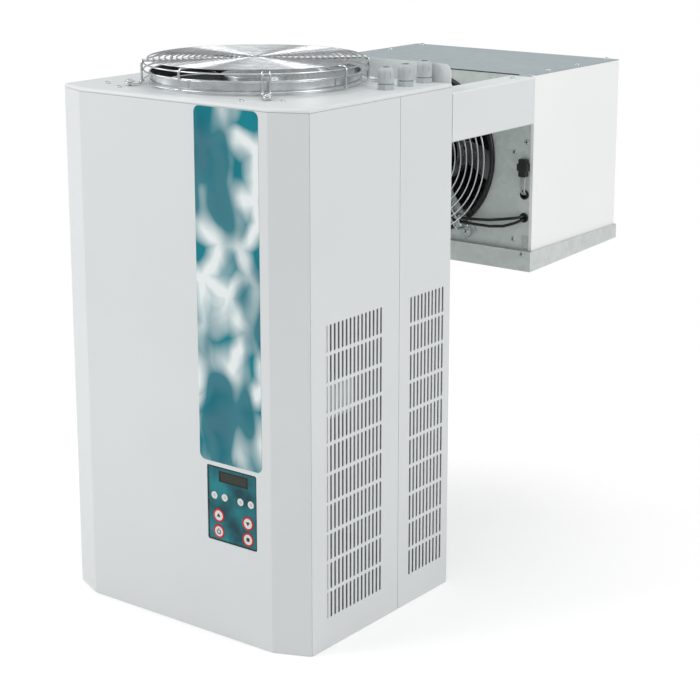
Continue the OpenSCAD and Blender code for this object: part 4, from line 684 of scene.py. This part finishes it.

# Lamps: four clear lenses between the display and the keys, each in a printed white ring.
LAMP_RING = 0.0052
LAMP_HOLE = 0.0020
LAMP_INK = 0.0001
LAMP_SHARES = (-0.365, -0.155, 0.165, 0.3725)
LAMP_STEPS = 40
lens = powder_coat("lamp_lens", linear(206, 214, 206), 0.2)
sheet_piece("led_lenses", lens, 0.0003)
lamp_low, lamp_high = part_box("led_lenses")
film_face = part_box("control_panel")[0][1]
rings = []
for share in LAMP_SHARES:
    column = PANEL_MID[0] + share * 2 * PANEL_HALF[0]
    ring = lathed([(LAMP_HOLE, 0), (LAMP_HOLE, LAMP_INK), (LAMP_RING, LAMP_INK), (LAMP_RING, 0)], LAMP_STEPS)
    rings.append(placed(ring, FACES_FRONT, (column, film_face, (lamp_low[2] + lamp_high[2]) / 2)))
lamp_rings = plain_piece("lamp_rings", *joined(*rings), key_white)
rides_with(lamp_rings, "control_panel")

# Label: a printed film on the front cover, teal, with pale frost that drifts across it.
# It is a plain generic pattern: soft plates of ice with pale edges, under drifting mist.
LABEL_DEEP = linear(0, 108, 124)
LABEL_MID = linear(0, 134, 147)
LABEL_PALE = linear(240, 246, 246)

print_film, print_tree, print_skin = shader("frost_label")
print_where = on_piece(print_tree)
warp = print_tree.nodes.new("ShaderNodeTexNoise")
warp.inputs["Scale"].default_value = 13
warp.inputs["Detail"].default_value = 2
print_tree.links.new(print_where, warp.inputs["Vector"])
bend = print_tree.nodes.new("ShaderNodeVectorMath")
bend.operation = "MULTIPLY_ADD"
bend.inputs[1].default_value = (0.05, 0.0, 0.05)
print_tree.links.new(warp.outputs["Color"], bend.inputs[0])
print_tree.links.new(print_where, bend.inputs[2])
plates = print_tree.nodes.new("ShaderNodeTexVoronoi")
plates.feature = "DISTANCE_TO_EDGE"
plates.inputs["Scale"].default_value = 15
print_tree.links.new(bend.outputs[0], plates.inputs["Vector"])
drift = cloud(print_tree, on_piece(print_tree, (1.3, 1, 0.7), (0.3, 0, 0.12)), 11, 1.5)
glow = between(print_tree, plates.outputs["Distance"], 1.0, 0.0, 0.06, 0.32)
print_base = mixed(print_tree, between(print_tree, drift, 0.0, 1.0, 0.34, 0.66), LABEL_DEEP, LABEL_MID)
light = reckon(print_tree, "MULTIPLY", glow, between(print_tree, drift, 0.05, 1.0, 0.45, 0.58))
print_tree.links.new(mixed(print_tree, light, print_base, LABEL_PALE), print_skin.inputs["Base Color"])
print_tree.links.new(between(print_tree, cloud(print_tree, print_where, 120), 0.30, 0.40),
                     print_skin.inputs["Roughness"])
print_skin.inputs["Specular IOR Level"].default_value = 0.2
sheet_piece("decor_label", print_film, 0.00012)

# Lid: one sheet drawn up into a low disc round the fan, with its edges folded down over the cabinet.
# Four pan-head screws hold it.
sheet_piece("top_panel", white_coat, 0.0003)

# Collar: a bright ring that guides the air through the lid, rolled over at its upper edge.
# Its flange is clamped under the lid.
bright = metal_finish("bright_wire", linear(226, 229, 230), linear(196, 200, 202), 60, 3, (0.14, 0.26), 1.0)
sheet_piece("fan_collar", bright, 0.0001)

# Condenser fan's drive: a ribbed black motor on a cross of zinc straps, hung from the collar's flange.
# The fan's cup turns round the motor.
sheet_piece("top_motor_bracket", zinc, 0.0004)
sheet_piece("top_fan_motor", black_paint, 0.0005)

# Fans: five swept sheet blades, dished and twisted, riveted on the rim of a spun cup over the motor.
# The condenser's blows up through the lid; the evaporator's draws from the room side.
HUB_R = 0.049
HUB_DEEP = 0.034
HUB_WALL = 0.0015
BLADE_THICK = 0.0012
BLADE_PITCH = (36.0, 24.0)
BLADE_CHORD = (0.42, 0.66)
BLADE_RAKE = 14.0
BLADE_CAMBER = 0.07
BLADE_ROUND = 0.12
BLADES = 5
CORNER_CUT = 0.30
CORNER_FROM = 0.82
RIVET_LEAN = 0.22
SHAFT_R = 0.004
SHAFT_DEEP = 0.0325
SPANS = 18
CUTS = 16

blade_sheet = metal_finish(
    "blade_sheet", linear(214, 218, 219), linear(182, 187, 189), 42, 4, (0.24, 0.40), 0.9)
blade_tree = blade_sheet.node_tree
relief(blade_tree, blade_tree.nodes["Principled BSDF"],
       cloud(blade_tree, on_piece(blade_tree, (1, 1, 0.2)), 320), 0.00001)


def blade(tip):
    """One blade about Z: pitch, chord and rake change along it, and its outer corners are rounded."""
    points, faces = [], []
    start = HUB_R - 0.002
    around = 2 * CUTS
    for i in range(SPANS + 1):
        s = i / SPANS
        radius = start + s * (tip - start)
        pitch = radians(BLADE_PITCH[0] + s * (BLADE_PITCH[1] - BLADE_PITCH[0]))
        chord = tip * (BLADE_CHORD[0] + (BLADE_CHORD[1] - BLADE_CHORD[0]) * sin(pi / 2 * s))
        corner = 1 - CORNER_CUT * max(0.0, (s - CORNER_FROM) / (1 - CORNER_FROM)) ** 2.4
        for j in range(around):
            upper = j < CUTS
            u = 0.5 - (j if upper else around - 1 - j) / (CUTS - 1)
            across = u * chord * (1 - BLADE_ROUND * s * s) * corner
            hump = BLADE_CAMBER * chord * (1 - 4 * u * u) + (0.5 if upper else -0.5) * BLADE_THICK
            along = across * cos(pitch) - hump * sin(pitch)
            turn = along / radius + radians(BLADE_RAKE) * s
            height = across * sin(pitch) + hump * cos(pitch)
            points.append(Vector((radius * cos(turn), radius * sin(turn), height)))
    for i in range(SPANS):
        for j in range(around):
            k = (j + 1) % around
            faces.append((i * around + j, (i + 1) * around + j, (i + 1) * around + k, i * around + k))
    for i in (0, SPANS):
        base = i * around
        for j in range(CUTS - 1):
            faces.append((base + j, base + j + 1, base + around - 2 - j, base + around - 1 - j))
    return points, faces


def fan_piece(node, tip, turn, at):
    """A whole fan: blades, cup with a rolled rim, shaft and the blades' rivets."""
    parts = []
    for k in range(BLADES):
        spin = Matrix.Rotation(2 * pi * k / BLADES, 3, "Z")
        parts.append(placed(blade(tip), spin, (0, 0, -HUB_DEEP / 2)))
        for s in (-1, 0, 1):
            rivet = lathed([(0, 0), (0.0024, 0), (0.0021, 0.0007), (0.0010, 0.0012), (0, 0.0013)], 14)
            tilt = radians(BLADE_PITCH[0])
            lean = s * RIVET_LEAN
            place = Vector(((HUB_R - 0.0002) * cos(lean), (HUB_R - 0.0002) * sin(lean),
                            -HUB_DEEP / 2 + lean * HUB_R * sin(tilt) / cos(tilt) + 0.0035))
            outward = Vector((cos(lean), sin(lean), 0)).to_track_quat("Z", "Y").to_matrix()
            parts.append(placed(placed(rivet, outward, place), spin, (0, 0, 0)))
    r = HUB_R
    cup = lathed([
        (0, 0.0004), (r * 0.30, 0.0004), (r * 0.34, -0.0008), (r * 0.62, -0.0008), (r * 0.66, 0),
        (r - 0.003, 0), (r - 0.0009, -0.0009), (r, -0.003), (r, -HUB_DEEP), (r - HUB_WALL, -HUB_DEEP),
        (r - HUB_WALL, -0.004), (r - 0.004, -HUB_WALL), (0, -HUB_WALL)], 72)
    parts.append(cup)
    parts.append(lathed([(0, -SHAFT_DEEP), (SHAFT_R, -SHAFT_DEEP), (SHAFT_R, -0.0005), (0, -0.0005)], 28))
    fan = plain_piece(node + "_wheel", *placed(joined(*parts), turn, at), blade_sheet, 32)
    return stands_for(fan, node)


FAN_AXIS_Y = 0.0055
TOP_TIP = 0.1375
CUP_TOP = 0.750
fan_piece("top_fan", TOP_TIP, Matrix.Identity(3), (0, FAN_AXIS_Y, CUP_TOP))

# Guard over the condenser fan: rings of bright wire welded on four single and four double struts.
# The double struts end in loops under washer-head screws.
RING_WIRE = 0.0022
STRUT_WIRE = 0.0032
GUARD_R = 0.154
GUARD_TOP = 0.772
GUARD_RINGS = 18
GUARD_EYE = 0.012
GUARD_WIDE = 0.1483
SIDE_LEVELS = (0.74203, 0.75683, 0.76645)
FOOT_R = 0.173
PAIR_GAP = 0.010


def ring_tree():
    """Concentric wire rings between two radii."""
    tree, new, given = node_group("wire_rings", "Rings", {
        "Count": "Int", "Eye": "Float", "Step": "Float", "Centre": "Vector", "Turn": "Vector",
        "Wire": "Float", "Finish": "Material"})
    dots = new("GeometryNodePoints")
    circle = new("GeometryNodeCurvePrimitiveCircle")
    circle.inputs["Resolution"].default_value = 112
    circle.inputs["Radius"].default_value = 1.0
    index = new("GeometryNodeInputIndex")
    grow = new("ShaderNodeMath")
    grow.operation = "MULTIPLY_ADD"
    spin = new("FunctionNodeEulerToRotation")
    spread = new("GeometryNodeInstanceOnPoints")
    solid = new("GeometryNodeRealizeInstances")
    section = new("GeometryNodeCurvePrimitiveCircle")
    section.inputs["Resolution"].default_value = 10
    wire = new("GeometryNodeCurveToMesh")
    smooth = new("GeometryNodeSetShadeSmooth")
    paint = new("GeometryNodeSetMaterial")
    out = new("NodeGroupOutput")
    wired(tree, (given["Count"], dots.inputs["Count"]), (given["Centre"], dots.inputs["Position"]),
          (index.outputs[0], grow.inputs[0]), (given["Step"], grow.inputs[1]), (given["Eye"], grow.inputs[2]),
          (given["Turn"], spin.inputs[0]), (dots.outputs[0], spread.inputs["Points"]),
          (circle.outputs[0], spread.inputs["Instance"]), (spin.outputs[0], spread.inputs["Rotation"]),
          (grow.outputs[0], spread.inputs["Scale"]), (spread.outputs[0], solid.inputs[0]),
          (solid.outputs[0], wire.inputs["Curve"]), (given["Wire"], section.inputs["Radius"]),
          (section.outputs[0], wire.inputs["Profile Curve"]), (wire.outputs[0], smooth.inputs[0]),
          (smooth.outputs[0], paint.inputs["Geometry"]), (given["Finish"], paint.inputs["Material"]),
          (paint.outputs[0], out.inputs[0]))
    return tree


def rounded_path(corners, bend, steps=8):
    """A route's corners with a round bend at each."""
    path = [Vector(corners[0])]
    for before, here, after in zip(corners, corners[1:], corners[2:]):
        before, here, after = Vector(before), Vector(here), Vector(after)
        back, ahead = before - here, after - here
        half = back.angle(ahead) / 2
        reach = min(bend * cos(half) / max(sin(half), 1e-6), back.length / 2, ahead.length / 2)
        start, end = here + back.normalized() * reach, here + ahead.normalized() * reach
        for k in range(steps + 1):
            t = k / steps
            path.append((1 - t) ** 2 * start + 2 * t * (1 - t) * here + t * t * end)
    path.append(Vector(corners[-1]))
    return path


def tube(path, radius, sides=12):
    """Points and faces of a closed round tube along a path, carried along without twist."""
    points, faces = [], []
    normal = None
    for i, here in enumerate(path):
        heading = (path[min(i + 1, len(path) - 1)] - path[max(i - 1, 0)]).normalized()
        if normal is None:
            normal = heading.orthogonal().normalized()
        normal = (normal - heading * normal.dot(heading)).normalized()
        across = heading.cross(normal)
        for j in range(sides):
            turn = 2 * pi * j / sides
            points.append(here + radius * (cos(turn) * normal + sin(turn) * across))
    for i in range(len(path) - 1):
        for j in range(sides):
            k = (j + 1) % sides
            faces.append((i * sides + j, i * sides + k, (i + 1) * sides + k, (i + 1) * sides + j))
    last = (len(path) - 1) * sides
    faces.append(tuple(reversed(range(sides))))
    faces.append(tuple(range(last, last + sides)))
    return points, faces


def double_strut(reach, top, foot, inner, bend, toe):
    """A strut of one wire bent double: in along the rings, down, out, and round the screw in a loop."""
    half = PAIR_GAP / 2
    loop = [(toe + half * sin(radians(a)), half * cos(radians(a)), foot) for a in range(0, 181, 15)]
    outward = [(inner, half, top), (reach, half, top), (reach, half, foot)]
    homeward = [(reach, -half, foot), (reach, -half, top), (inner, -half, top)]
    first = rounded_path(outward + [loop[0]], bend)
    last = rounded_path([loop[-1]] + homeward, bend)
    return first + [Vector(p) for p in loop[1:-1]] + last


def strut(path, degrees):
    """A strut's wire, turned about the guard's centre."""
    return placed(tube(path, STRUT_WIRE / 2), Matrix.Rotation(radians(degrees), 3, "Z"), (0, 0, 0))


def rings_and_struts(name, rings, struts, turn, at, *nodes):
    """The guard in one mesh: the grown rings and the struts' tubes."""
    points, faces = placed(joined(*struts), turn, at)
    guard = plain_piece(name, points, faces, bright, 60)
    work = bmesh.new()
    work.from_mesh(guard.data)
    for ring in rings:
        work.from_mesh(ring.data)
        bpy.data.objects.remove(ring)
    work.to_mesh(guard.data)
    work.free()
    return stands_for(guard, *nodes)


wire_rings = ring_tree()


def bright_rings(name, count, eye, step, centre, turn=(0, 0, 0)):
    """Rings of bright wire about a centre."""
    return grown(name, wire_rings, {"Count": count, "Eye": eye, "Step": step, "Centre": centre, "Turn": turn,
                                    "Wire": RING_WIRE / 2, "Finish": bright})


ring_step = (GUARD_WIDE - GUARD_EYE) / (GUARD_RINGS - 1)
top_rings = [bright_rings("guard_top_rings", GUARD_RINGS, GUARD_EYE, ring_step, (0, FAN_AXIS_Y, GUARD_TOP))]
for level in SIDE_LEVELS:
    top_rings.append(bright_rings("guard_side_ring", 1, GUARD_R, 0.0, (0, FAN_AXIS_Y, level)))
STRUT_REACH = 0.1564
STRUT_TOP = 0.7696
STRUT_FOOT = 0.7391
STRUT_BEND = 0.005
EYE_LAP = 0.003
struts = []
for k in range(4):
    single = rounded_path([(GUARD_EYE - EYE_LAP, 0, STRUT_TOP), (STRUT_REACH, 0, STRUT_TOP),
                           (STRUT_REACH, 0, SIDE_LEVELS[0] - RING_WIRE)], STRUT_BEND)
    double = double_strut(STRUT_REACH, STRUT_TOP, STRUT_FOOT, GUARD_EYE + ring_step - EYE_LAP,
                          STRUT_BEND, FOOT_R)
    struts += [strut(single, 90 * k), strut(double, 45 + 90 * k)]
rings_and_struts("top_guard_wires", top_rings, struts, Matrix.Identity(3), (0, FAN_AXIS_Y, 0), "top_guard")

# Screws: pan heads with a pressed cross hold the lid, the arms, the evaporator's top and its fan plate.
# Washer heads clamp the feet of both guards.
HEAD_R = 0.0042
HEAD_H = 0.0024
CROSS = 0.0024
CROSS_HALF = 0.0005
CROSS_DEEP = 0.0006
SHADE_PROUD = 0.00002
WASHER_R = 0.0070
WASHER_T = 0.0010
SHANK_R = 0.0018
SHANK_DEEP = 0.009


def shaded_cross(height):
    """The cross pressed in a screw's head, drawn as a shallow dark inlay: painted shade for the recess."""
    sides = [(0, 1, 5, 4), (1, 2, 6, 5), (2, 3, 7, 6), (3, 0, 4, 7), (4, 5, 6, 7), (3, 2, 1, 0)]
    arms = []
    for wide, tall in ((CROSS, CROSS_HALF), (CROSS_HALF, CROSS)):
        corners = [(-wide, -tall), (wide, -tall), (wide, tall), (-wide, tall)]
        arms.append(([Vector((x, y, z)) for z in (height - CROSS_DEEP, height) for x, y in corners], sides))
    return joined(*arms)


def set_out_tree():
    """Copies of one shape on points, each along its point's facing and turned by chance about it."""
    tree, new, given = node_group("set_out", "Copies", {
        "Places": "Geometry", "Shape": "Object", "Finish": "Material", "Seed": "Int"})
    one = new("GeometryNodeObjectInfo")
    facing = new("GeometryNodeInputNamedAttribute")
    facing.data_type = "FLOAT_VECTOR"
    facing.inputs["Name"].default_value = "facing"
    align = new("FunctionNodeAlignRotationToVector")
    align.axis = "Z"
    chance = new("FunctionNodeRandomValue")
    chance.data_type = "FLOAT"
    chance.inputs[2].default_value = 0.0
    chance.inputs[3].default_value = 2 * pi
    about = new("FunctionNodeAxisAngleToRotation")
    about.inputs["Axis"].default_value = (0, 0, 1)
    twist = new("FunctionNodeRotateRotation")
    twist.rotation_space = "LOCAL"
    spread = new("GeometryNodeInstanceOnPoints")
    solid = new("GeometryNodeRealizeInstances")
    paint = new("GeometryNodeSetMaterial")
    out = new("NodeGroupOutput")
    wired(tree, (given["Places"], spread.inputs["Points"]), (given["Shape"], one.inputs["Object"]),
          (one.outputs["Geometry"], spread.inputs["Instance"]),
          (facing.outputs["Attribute"], align.inputs["Vector"]),
          (given["Seed"], chance.inputs["Seed"]), (chance.outputs["Value"], about.inputs["Angle"]),
          (align.outputs[0], twist.inputs["Rotation"]), (about.outputs[0], twist.inputs["Rotate By"]),
          (twist.outputs[0], spread.inputs["Rotation"]), (spread.outputs[0], solid.inputs[0]),
          (solid.outputs[0], paint.inputs["Geometry"]), (given["Finish"], paint.inputs["Material"]),
          (paint.outputs[0], out.inputs[0]))
    return tree


def set_out(name, shape, places, finish, seed):
    """A shape set out on places of (x, y, z, facing x, y, z)."""
    one = plain_piece(name + "_one", *shape)
    copies = grown(name, screw_places, {"Shape": one, "Finish": finish, "Seed": seed}, places)
    bpy.data.objects.remove(one)
    return copies


def screws(name, head, height, places, seed, node):
    """Heads and their crosses of painted shade, in the place of a CAD node of like screws."""
    stands_for(set_out(name + "s", head, places, screw_zinc, seed), node)
    rides_with(set_out(name + "_marks", shaded_cross(height + SHADE_PROUD), places, cross_shade_finish, seed), node)


screw_places = set_out_tree()
pan_head = lathed([
    (0, -SHANK_DEEP), (0.0016, -SHANK_DEEP), (SHANK_R, -0.008), (SHANK_R, 0), (HEAD_R, 0), (HEAD_R, 0.0009),
    (HEAD_R * 0.94, 0.0014), (HEAD_R * 0.74, 0.0020), (HEAD_R * 0.42, HEAD_H), (0, HEAD_H)], 28)
washer_head = lathed([
    (0, -SHANK_DEEP), (SHANK_R, -SHANK_DEEP), (SHANK_R, 0), (WASHER_R, 0), (WASHER_R, WASHER_T * 0.7),
    (WASHER_R - 0.0004, WASHER_T), (HEAD_R + 0.0002, WASHER_T), (HEAD_R, WASHER_T + 0.0008),
    (HEAD_R * 0.8, WASHER_T + 0.0018), (HEAD_R * 0.45, WASHER_T + HEAD_H), (0, WASHER_T + HEAD_H)], 32)
UP = (0, 0, 1)
OUT = (0, -1, 0)
LID_TOP = 0.735
CABINET_WIDE = 0.432
CABINET_DEEP = 0.341
LID_SHARES = ((0.23, -0.42), (0.335, -0.335), (-0.285, -0.403), (-0.38, -0.345))
EVAP_X = 0.021
EVAP_FRONT = 0.3865
EVAP_ROOF = 0.725
EVAP_FLOOR = 0.457
ARM_TOP = 0.722
ARM_SCREW_OUT = 0.177
ARM_SCREW_BACK = 0.034
ROOF_SCREW_OUT = 0.178
ROOF_LONG = 0.253
ROOF_SHARES = (0.26, 0.60, 0.96)
PLATE_Y = 0.38795
PLATE_SCREWS = ((0.183, 0.167), (0.162, 0.150), (0.162, 0.017))
FOOT_SEAT = 0.7375
TRAY_FRONT = 0.3785
TRAY_SCREW_Z = 0.454
TRAY_SCREW_OUT = 0.1837
lid_places = [(x * CABINET_WIDE, y * CABINET_DEEP, LID_TOP) for x, y in LID_SHARES]
arm_places = [(EVAP_X + s * ARM_SCREW_OUT, EVAP_FRONT - ARM_SCREW_BACK, ARM_TOP) for s in (-1, 1)]
roof_places = [(EVAP_X + s * ROOF_SCREW_OUT, EVAP_FRONT + share * ROOF_LONG, EVAP_ROOF)
               for s in (-1, 1) for share in ROOF_SHARES]
plate_places = [(EVAP_X + s * out, PLATE_Y, EVAP_FLOOR + up) for s in (-1, 1) for out, up in PLATE_SCREWS]
tray_places = [(EVAP_X + s * TRAY_SCREW_OUT, TRAY_FRONT, TRAY_SCREW_Z) for s in (-1, 1)]
pan_places = [at + UP for at in lid_places + arm_places + roof_places]
pan_places += [at + OUT for at in plate_places + tray_places]
screw_zinc = zinc_sheet("screw_zinc", linear(214, 218, 218), linear(180, 186, 186), 0.8, 0.30)
# Painted shade: the dark finish of the crosses stands in for the shadow inside the heads' cross recesses.
cross_shade_finish = black_finish("screw_recess_shade", linear(34, 34, 36), 0.6, 900)
screws("pan_screw", pan_head, HEAD_H, pan_places, 3, "panel_screws")
STRAP_T = 0.002
STRUT_TURN = 55
EVAP_FAN_Z = 0.591
EVAP_FOOT = 0.141
foot_places = [(FOOT_R * cos(radians(a)), FAN_AXIS_Y + FOOT_R * sin(radians(a)), FOOT_SEAT + STRUT_WIRE) + UP
               for a in (45, 135, 225, 315)]
foot_places += [(EVAP_X + EVAP_FOOT * cos(radians(STRUT_TURN + 90 * k)), PLATE_Y - STRAP_T - STRUT_WIRE,
                 EVAP_FAN_Z - EVAP_FOOT * sin(radians(STRUT_TURN + 90 * k))) + OUT for k in range(4)]
screws("washer_screw", washer_head, WASHER_T + HEAD_H, foot_places, 5, "guard_screws")

# Cable glands: hex bodies, ribbed dome nuts and rubber seals, moulded in pale grey nylon.
# Each clamps one cable where it enters through the lid.
nylon = powder_coat("grey_nylon", linear(190, 196, 198), 0.42)
for gland in ("gland_bodies", "gland_nuts"):
    sheet_piece(gland, nylon, 0.0004)
sheet_piece("gland_seals", black_rubber, 0.0003)

# Arms and saddle: two painted channels cross the wall's upper edge, with a zinc plate between their flanges.
# The cabinet's lid and the evaporator box are screwed to them.
arm_coat = powder_coat("arm_powder_coat", linear(230, 234, 234), 0.38)
for side in ("_right", "_left"):
    sheet_piece("arm" + side, arm_coat, 0.0003)
sheet_piece("saddle_plate", zinc, 0.0003)

# Evaporator box: two white side sheets with folded returns, under a pale galvanised top.
# The arms run into its front corners.
box_coat = powder_coat("box_powder_coat", linear(252, 253, 253), 0.36)
roof_zinc = zinc_sheet("roof_zinc", linear(186, 200, 204), linear(168, 182, 187), 0.5, 0.36)
for side in ("_right", "_left"):
    sheet_piece("evap_side" + side, box_coat, 0.0003)
sheet_piece("evap_top", roof_zinc, 0.0003)

# Fan plate: galvanised sheet across the box's front, with the fan's black ring pressed in its hole.
# It is screwed to the sides' returns.
# Painted light: this zinc is painted much paler than the cabinet's zinc, standing in for light that the plate
# does not get where it sits in the cabinet's shadow.
plate_zinc_painted_light = zinc_sheet("plate_zinc_painted_light", linear(226, 233, 229), linear(206, 215, 211), 0.30, 0.44)
sheet_piece("evap_fan_plate", plate_zinc_painted_light, 0.0002)
ring_gloss = black_finish("ring_moulding", linear(20, 21, 23), 0.26, 1200)
sheet_piece("evap_fan_ring", ring_gloss, 0.0003)

# Evaporator fan's drive: straps from the guard's screws carry a black motor, and the fan turns behind it.
# The strap is zinc, and the fan is the condenser fan's smaller sister.
sheet_piece("evap_motor_bracket", screw_zinc, 0.0003)
sheet_piece("evap_fan_motor", black_paint, 0.0005)
EVAP_TIP = 0.115
EVAP_HUB_Y = 0.43805
fan_piece("evap_fan", EVAP_TIP, Matrix.Rotation(radians(-90), 3, "X"), (EVAP_X, EVAP_HUB_Y, EVAP_FAN_Z))

# Evaporator guard: ten flat rings welded on four double struts, which share the bracket's screws.
# Its wire is the same bright wire as the lid's guard.
EVAP_RINGS = 10
EVAP_EYE = 0.027
EVAP_WIDE = 0.1215
EVAP_OUT = 0.022
EVAP_REACH = 0.1315
EVAP_BEND = 0.004
EVAP_STRUT_IN = 0.0024
evap_step = (EVAP_WIDE - EVAP_EYE) / (EVAP_RINGS - 1)
flat_rings = bright_rings("evap_guard_rings", EVAP_RINGS, EVAP_EYE, evap_step,
                          (EVAP_X, PLATE_Y - EVAP_OUT, EVAP_FAN_Z), (pi / 2, 0, 0))
evap_strut = double_strut(EVAP_REACH, EVAP_OUT - EVAP_STRUT_IN, STRAP_T + STRUT_WIRE / 2, EVAP_EYE - EYE_LAP,
                          EVAP_BEND, EVAP_FOOT)
evap_struts = [strut(evap_strut, -STRUT_TURN - 90 * k) for k in range(4)]
rings_and_struts("evap_guard_wires", [flat_rings], evap_struts, FACES_FRONT, (EVAP_X, PLATE_Y, EVAP_FAN_Z),
                 "evap_guard")

# Drip tray: a folded zinc pan with a sloping floor and a drain spout, hung from bright folded tabs.
# It catches what drips from the coil.
tray_zinc = zinc_sheet("tray_zinc", linear(226, 231, 229), linear(206, 213, 211), 0.40, 0.36)
sheet_piece("drip_tray", tray_zinc, 0.0003)
sheet_piece("tray_brackets", screw_zinc, 0.0003)

# Wiring of the evaporator fan: two black leads from the lower grommet, held by a tie at the guard's foot.
# Above them a black plug hangs on two pale grey wires.
black_lead = black_finish("black_lead", linear(24, 25, 27), 0.44, 600)
grey_wire = powder_coat("grey_wire", linear(176, 182, 184), 0.4)
sheet_piece("cable_grommets", black_rubber, 0.0004)
sheet_piece("plug_connector", black_moulding, 0.0006)
round_run("fan_leads", black_lead, 0.00017)
round_run("connector_leads", grey_wire, 0.0001)
TIE_AT = (0.0735, -0.0148, -0.0960)
TIE_TALL = 0.0062
TIE_DEEP = 0.0036
TIE_SPREAD = 1.6
TIE_CORD_R = 0.0009
tie_loop = []
for k in range(25):
    turn = 2 * pi * k / 24
    tie_loop.append(Vector((EVAP_X + TIE_AT[0], PLATE_Y + TIE_AT[1] + TIE_DEEP * cos(turn),
                            EVAP_FAN_Z + TIE_AT[2] + TIE_TALL * sin(turn))))
tie_points, tie_faces = tube(tie_loop, TIE_CORD_R, 8)
broad_tie = [Vector((p.x + (p.x - EVAP_X - TIE_AT[0]) * TIE_SPREAD, p.y, p.z)) for p in tie_points]
tie = plain_piece("lead_tie", broad_tie, tie_faces, nylon, 50)
rides_with(tie, "fan_leads")
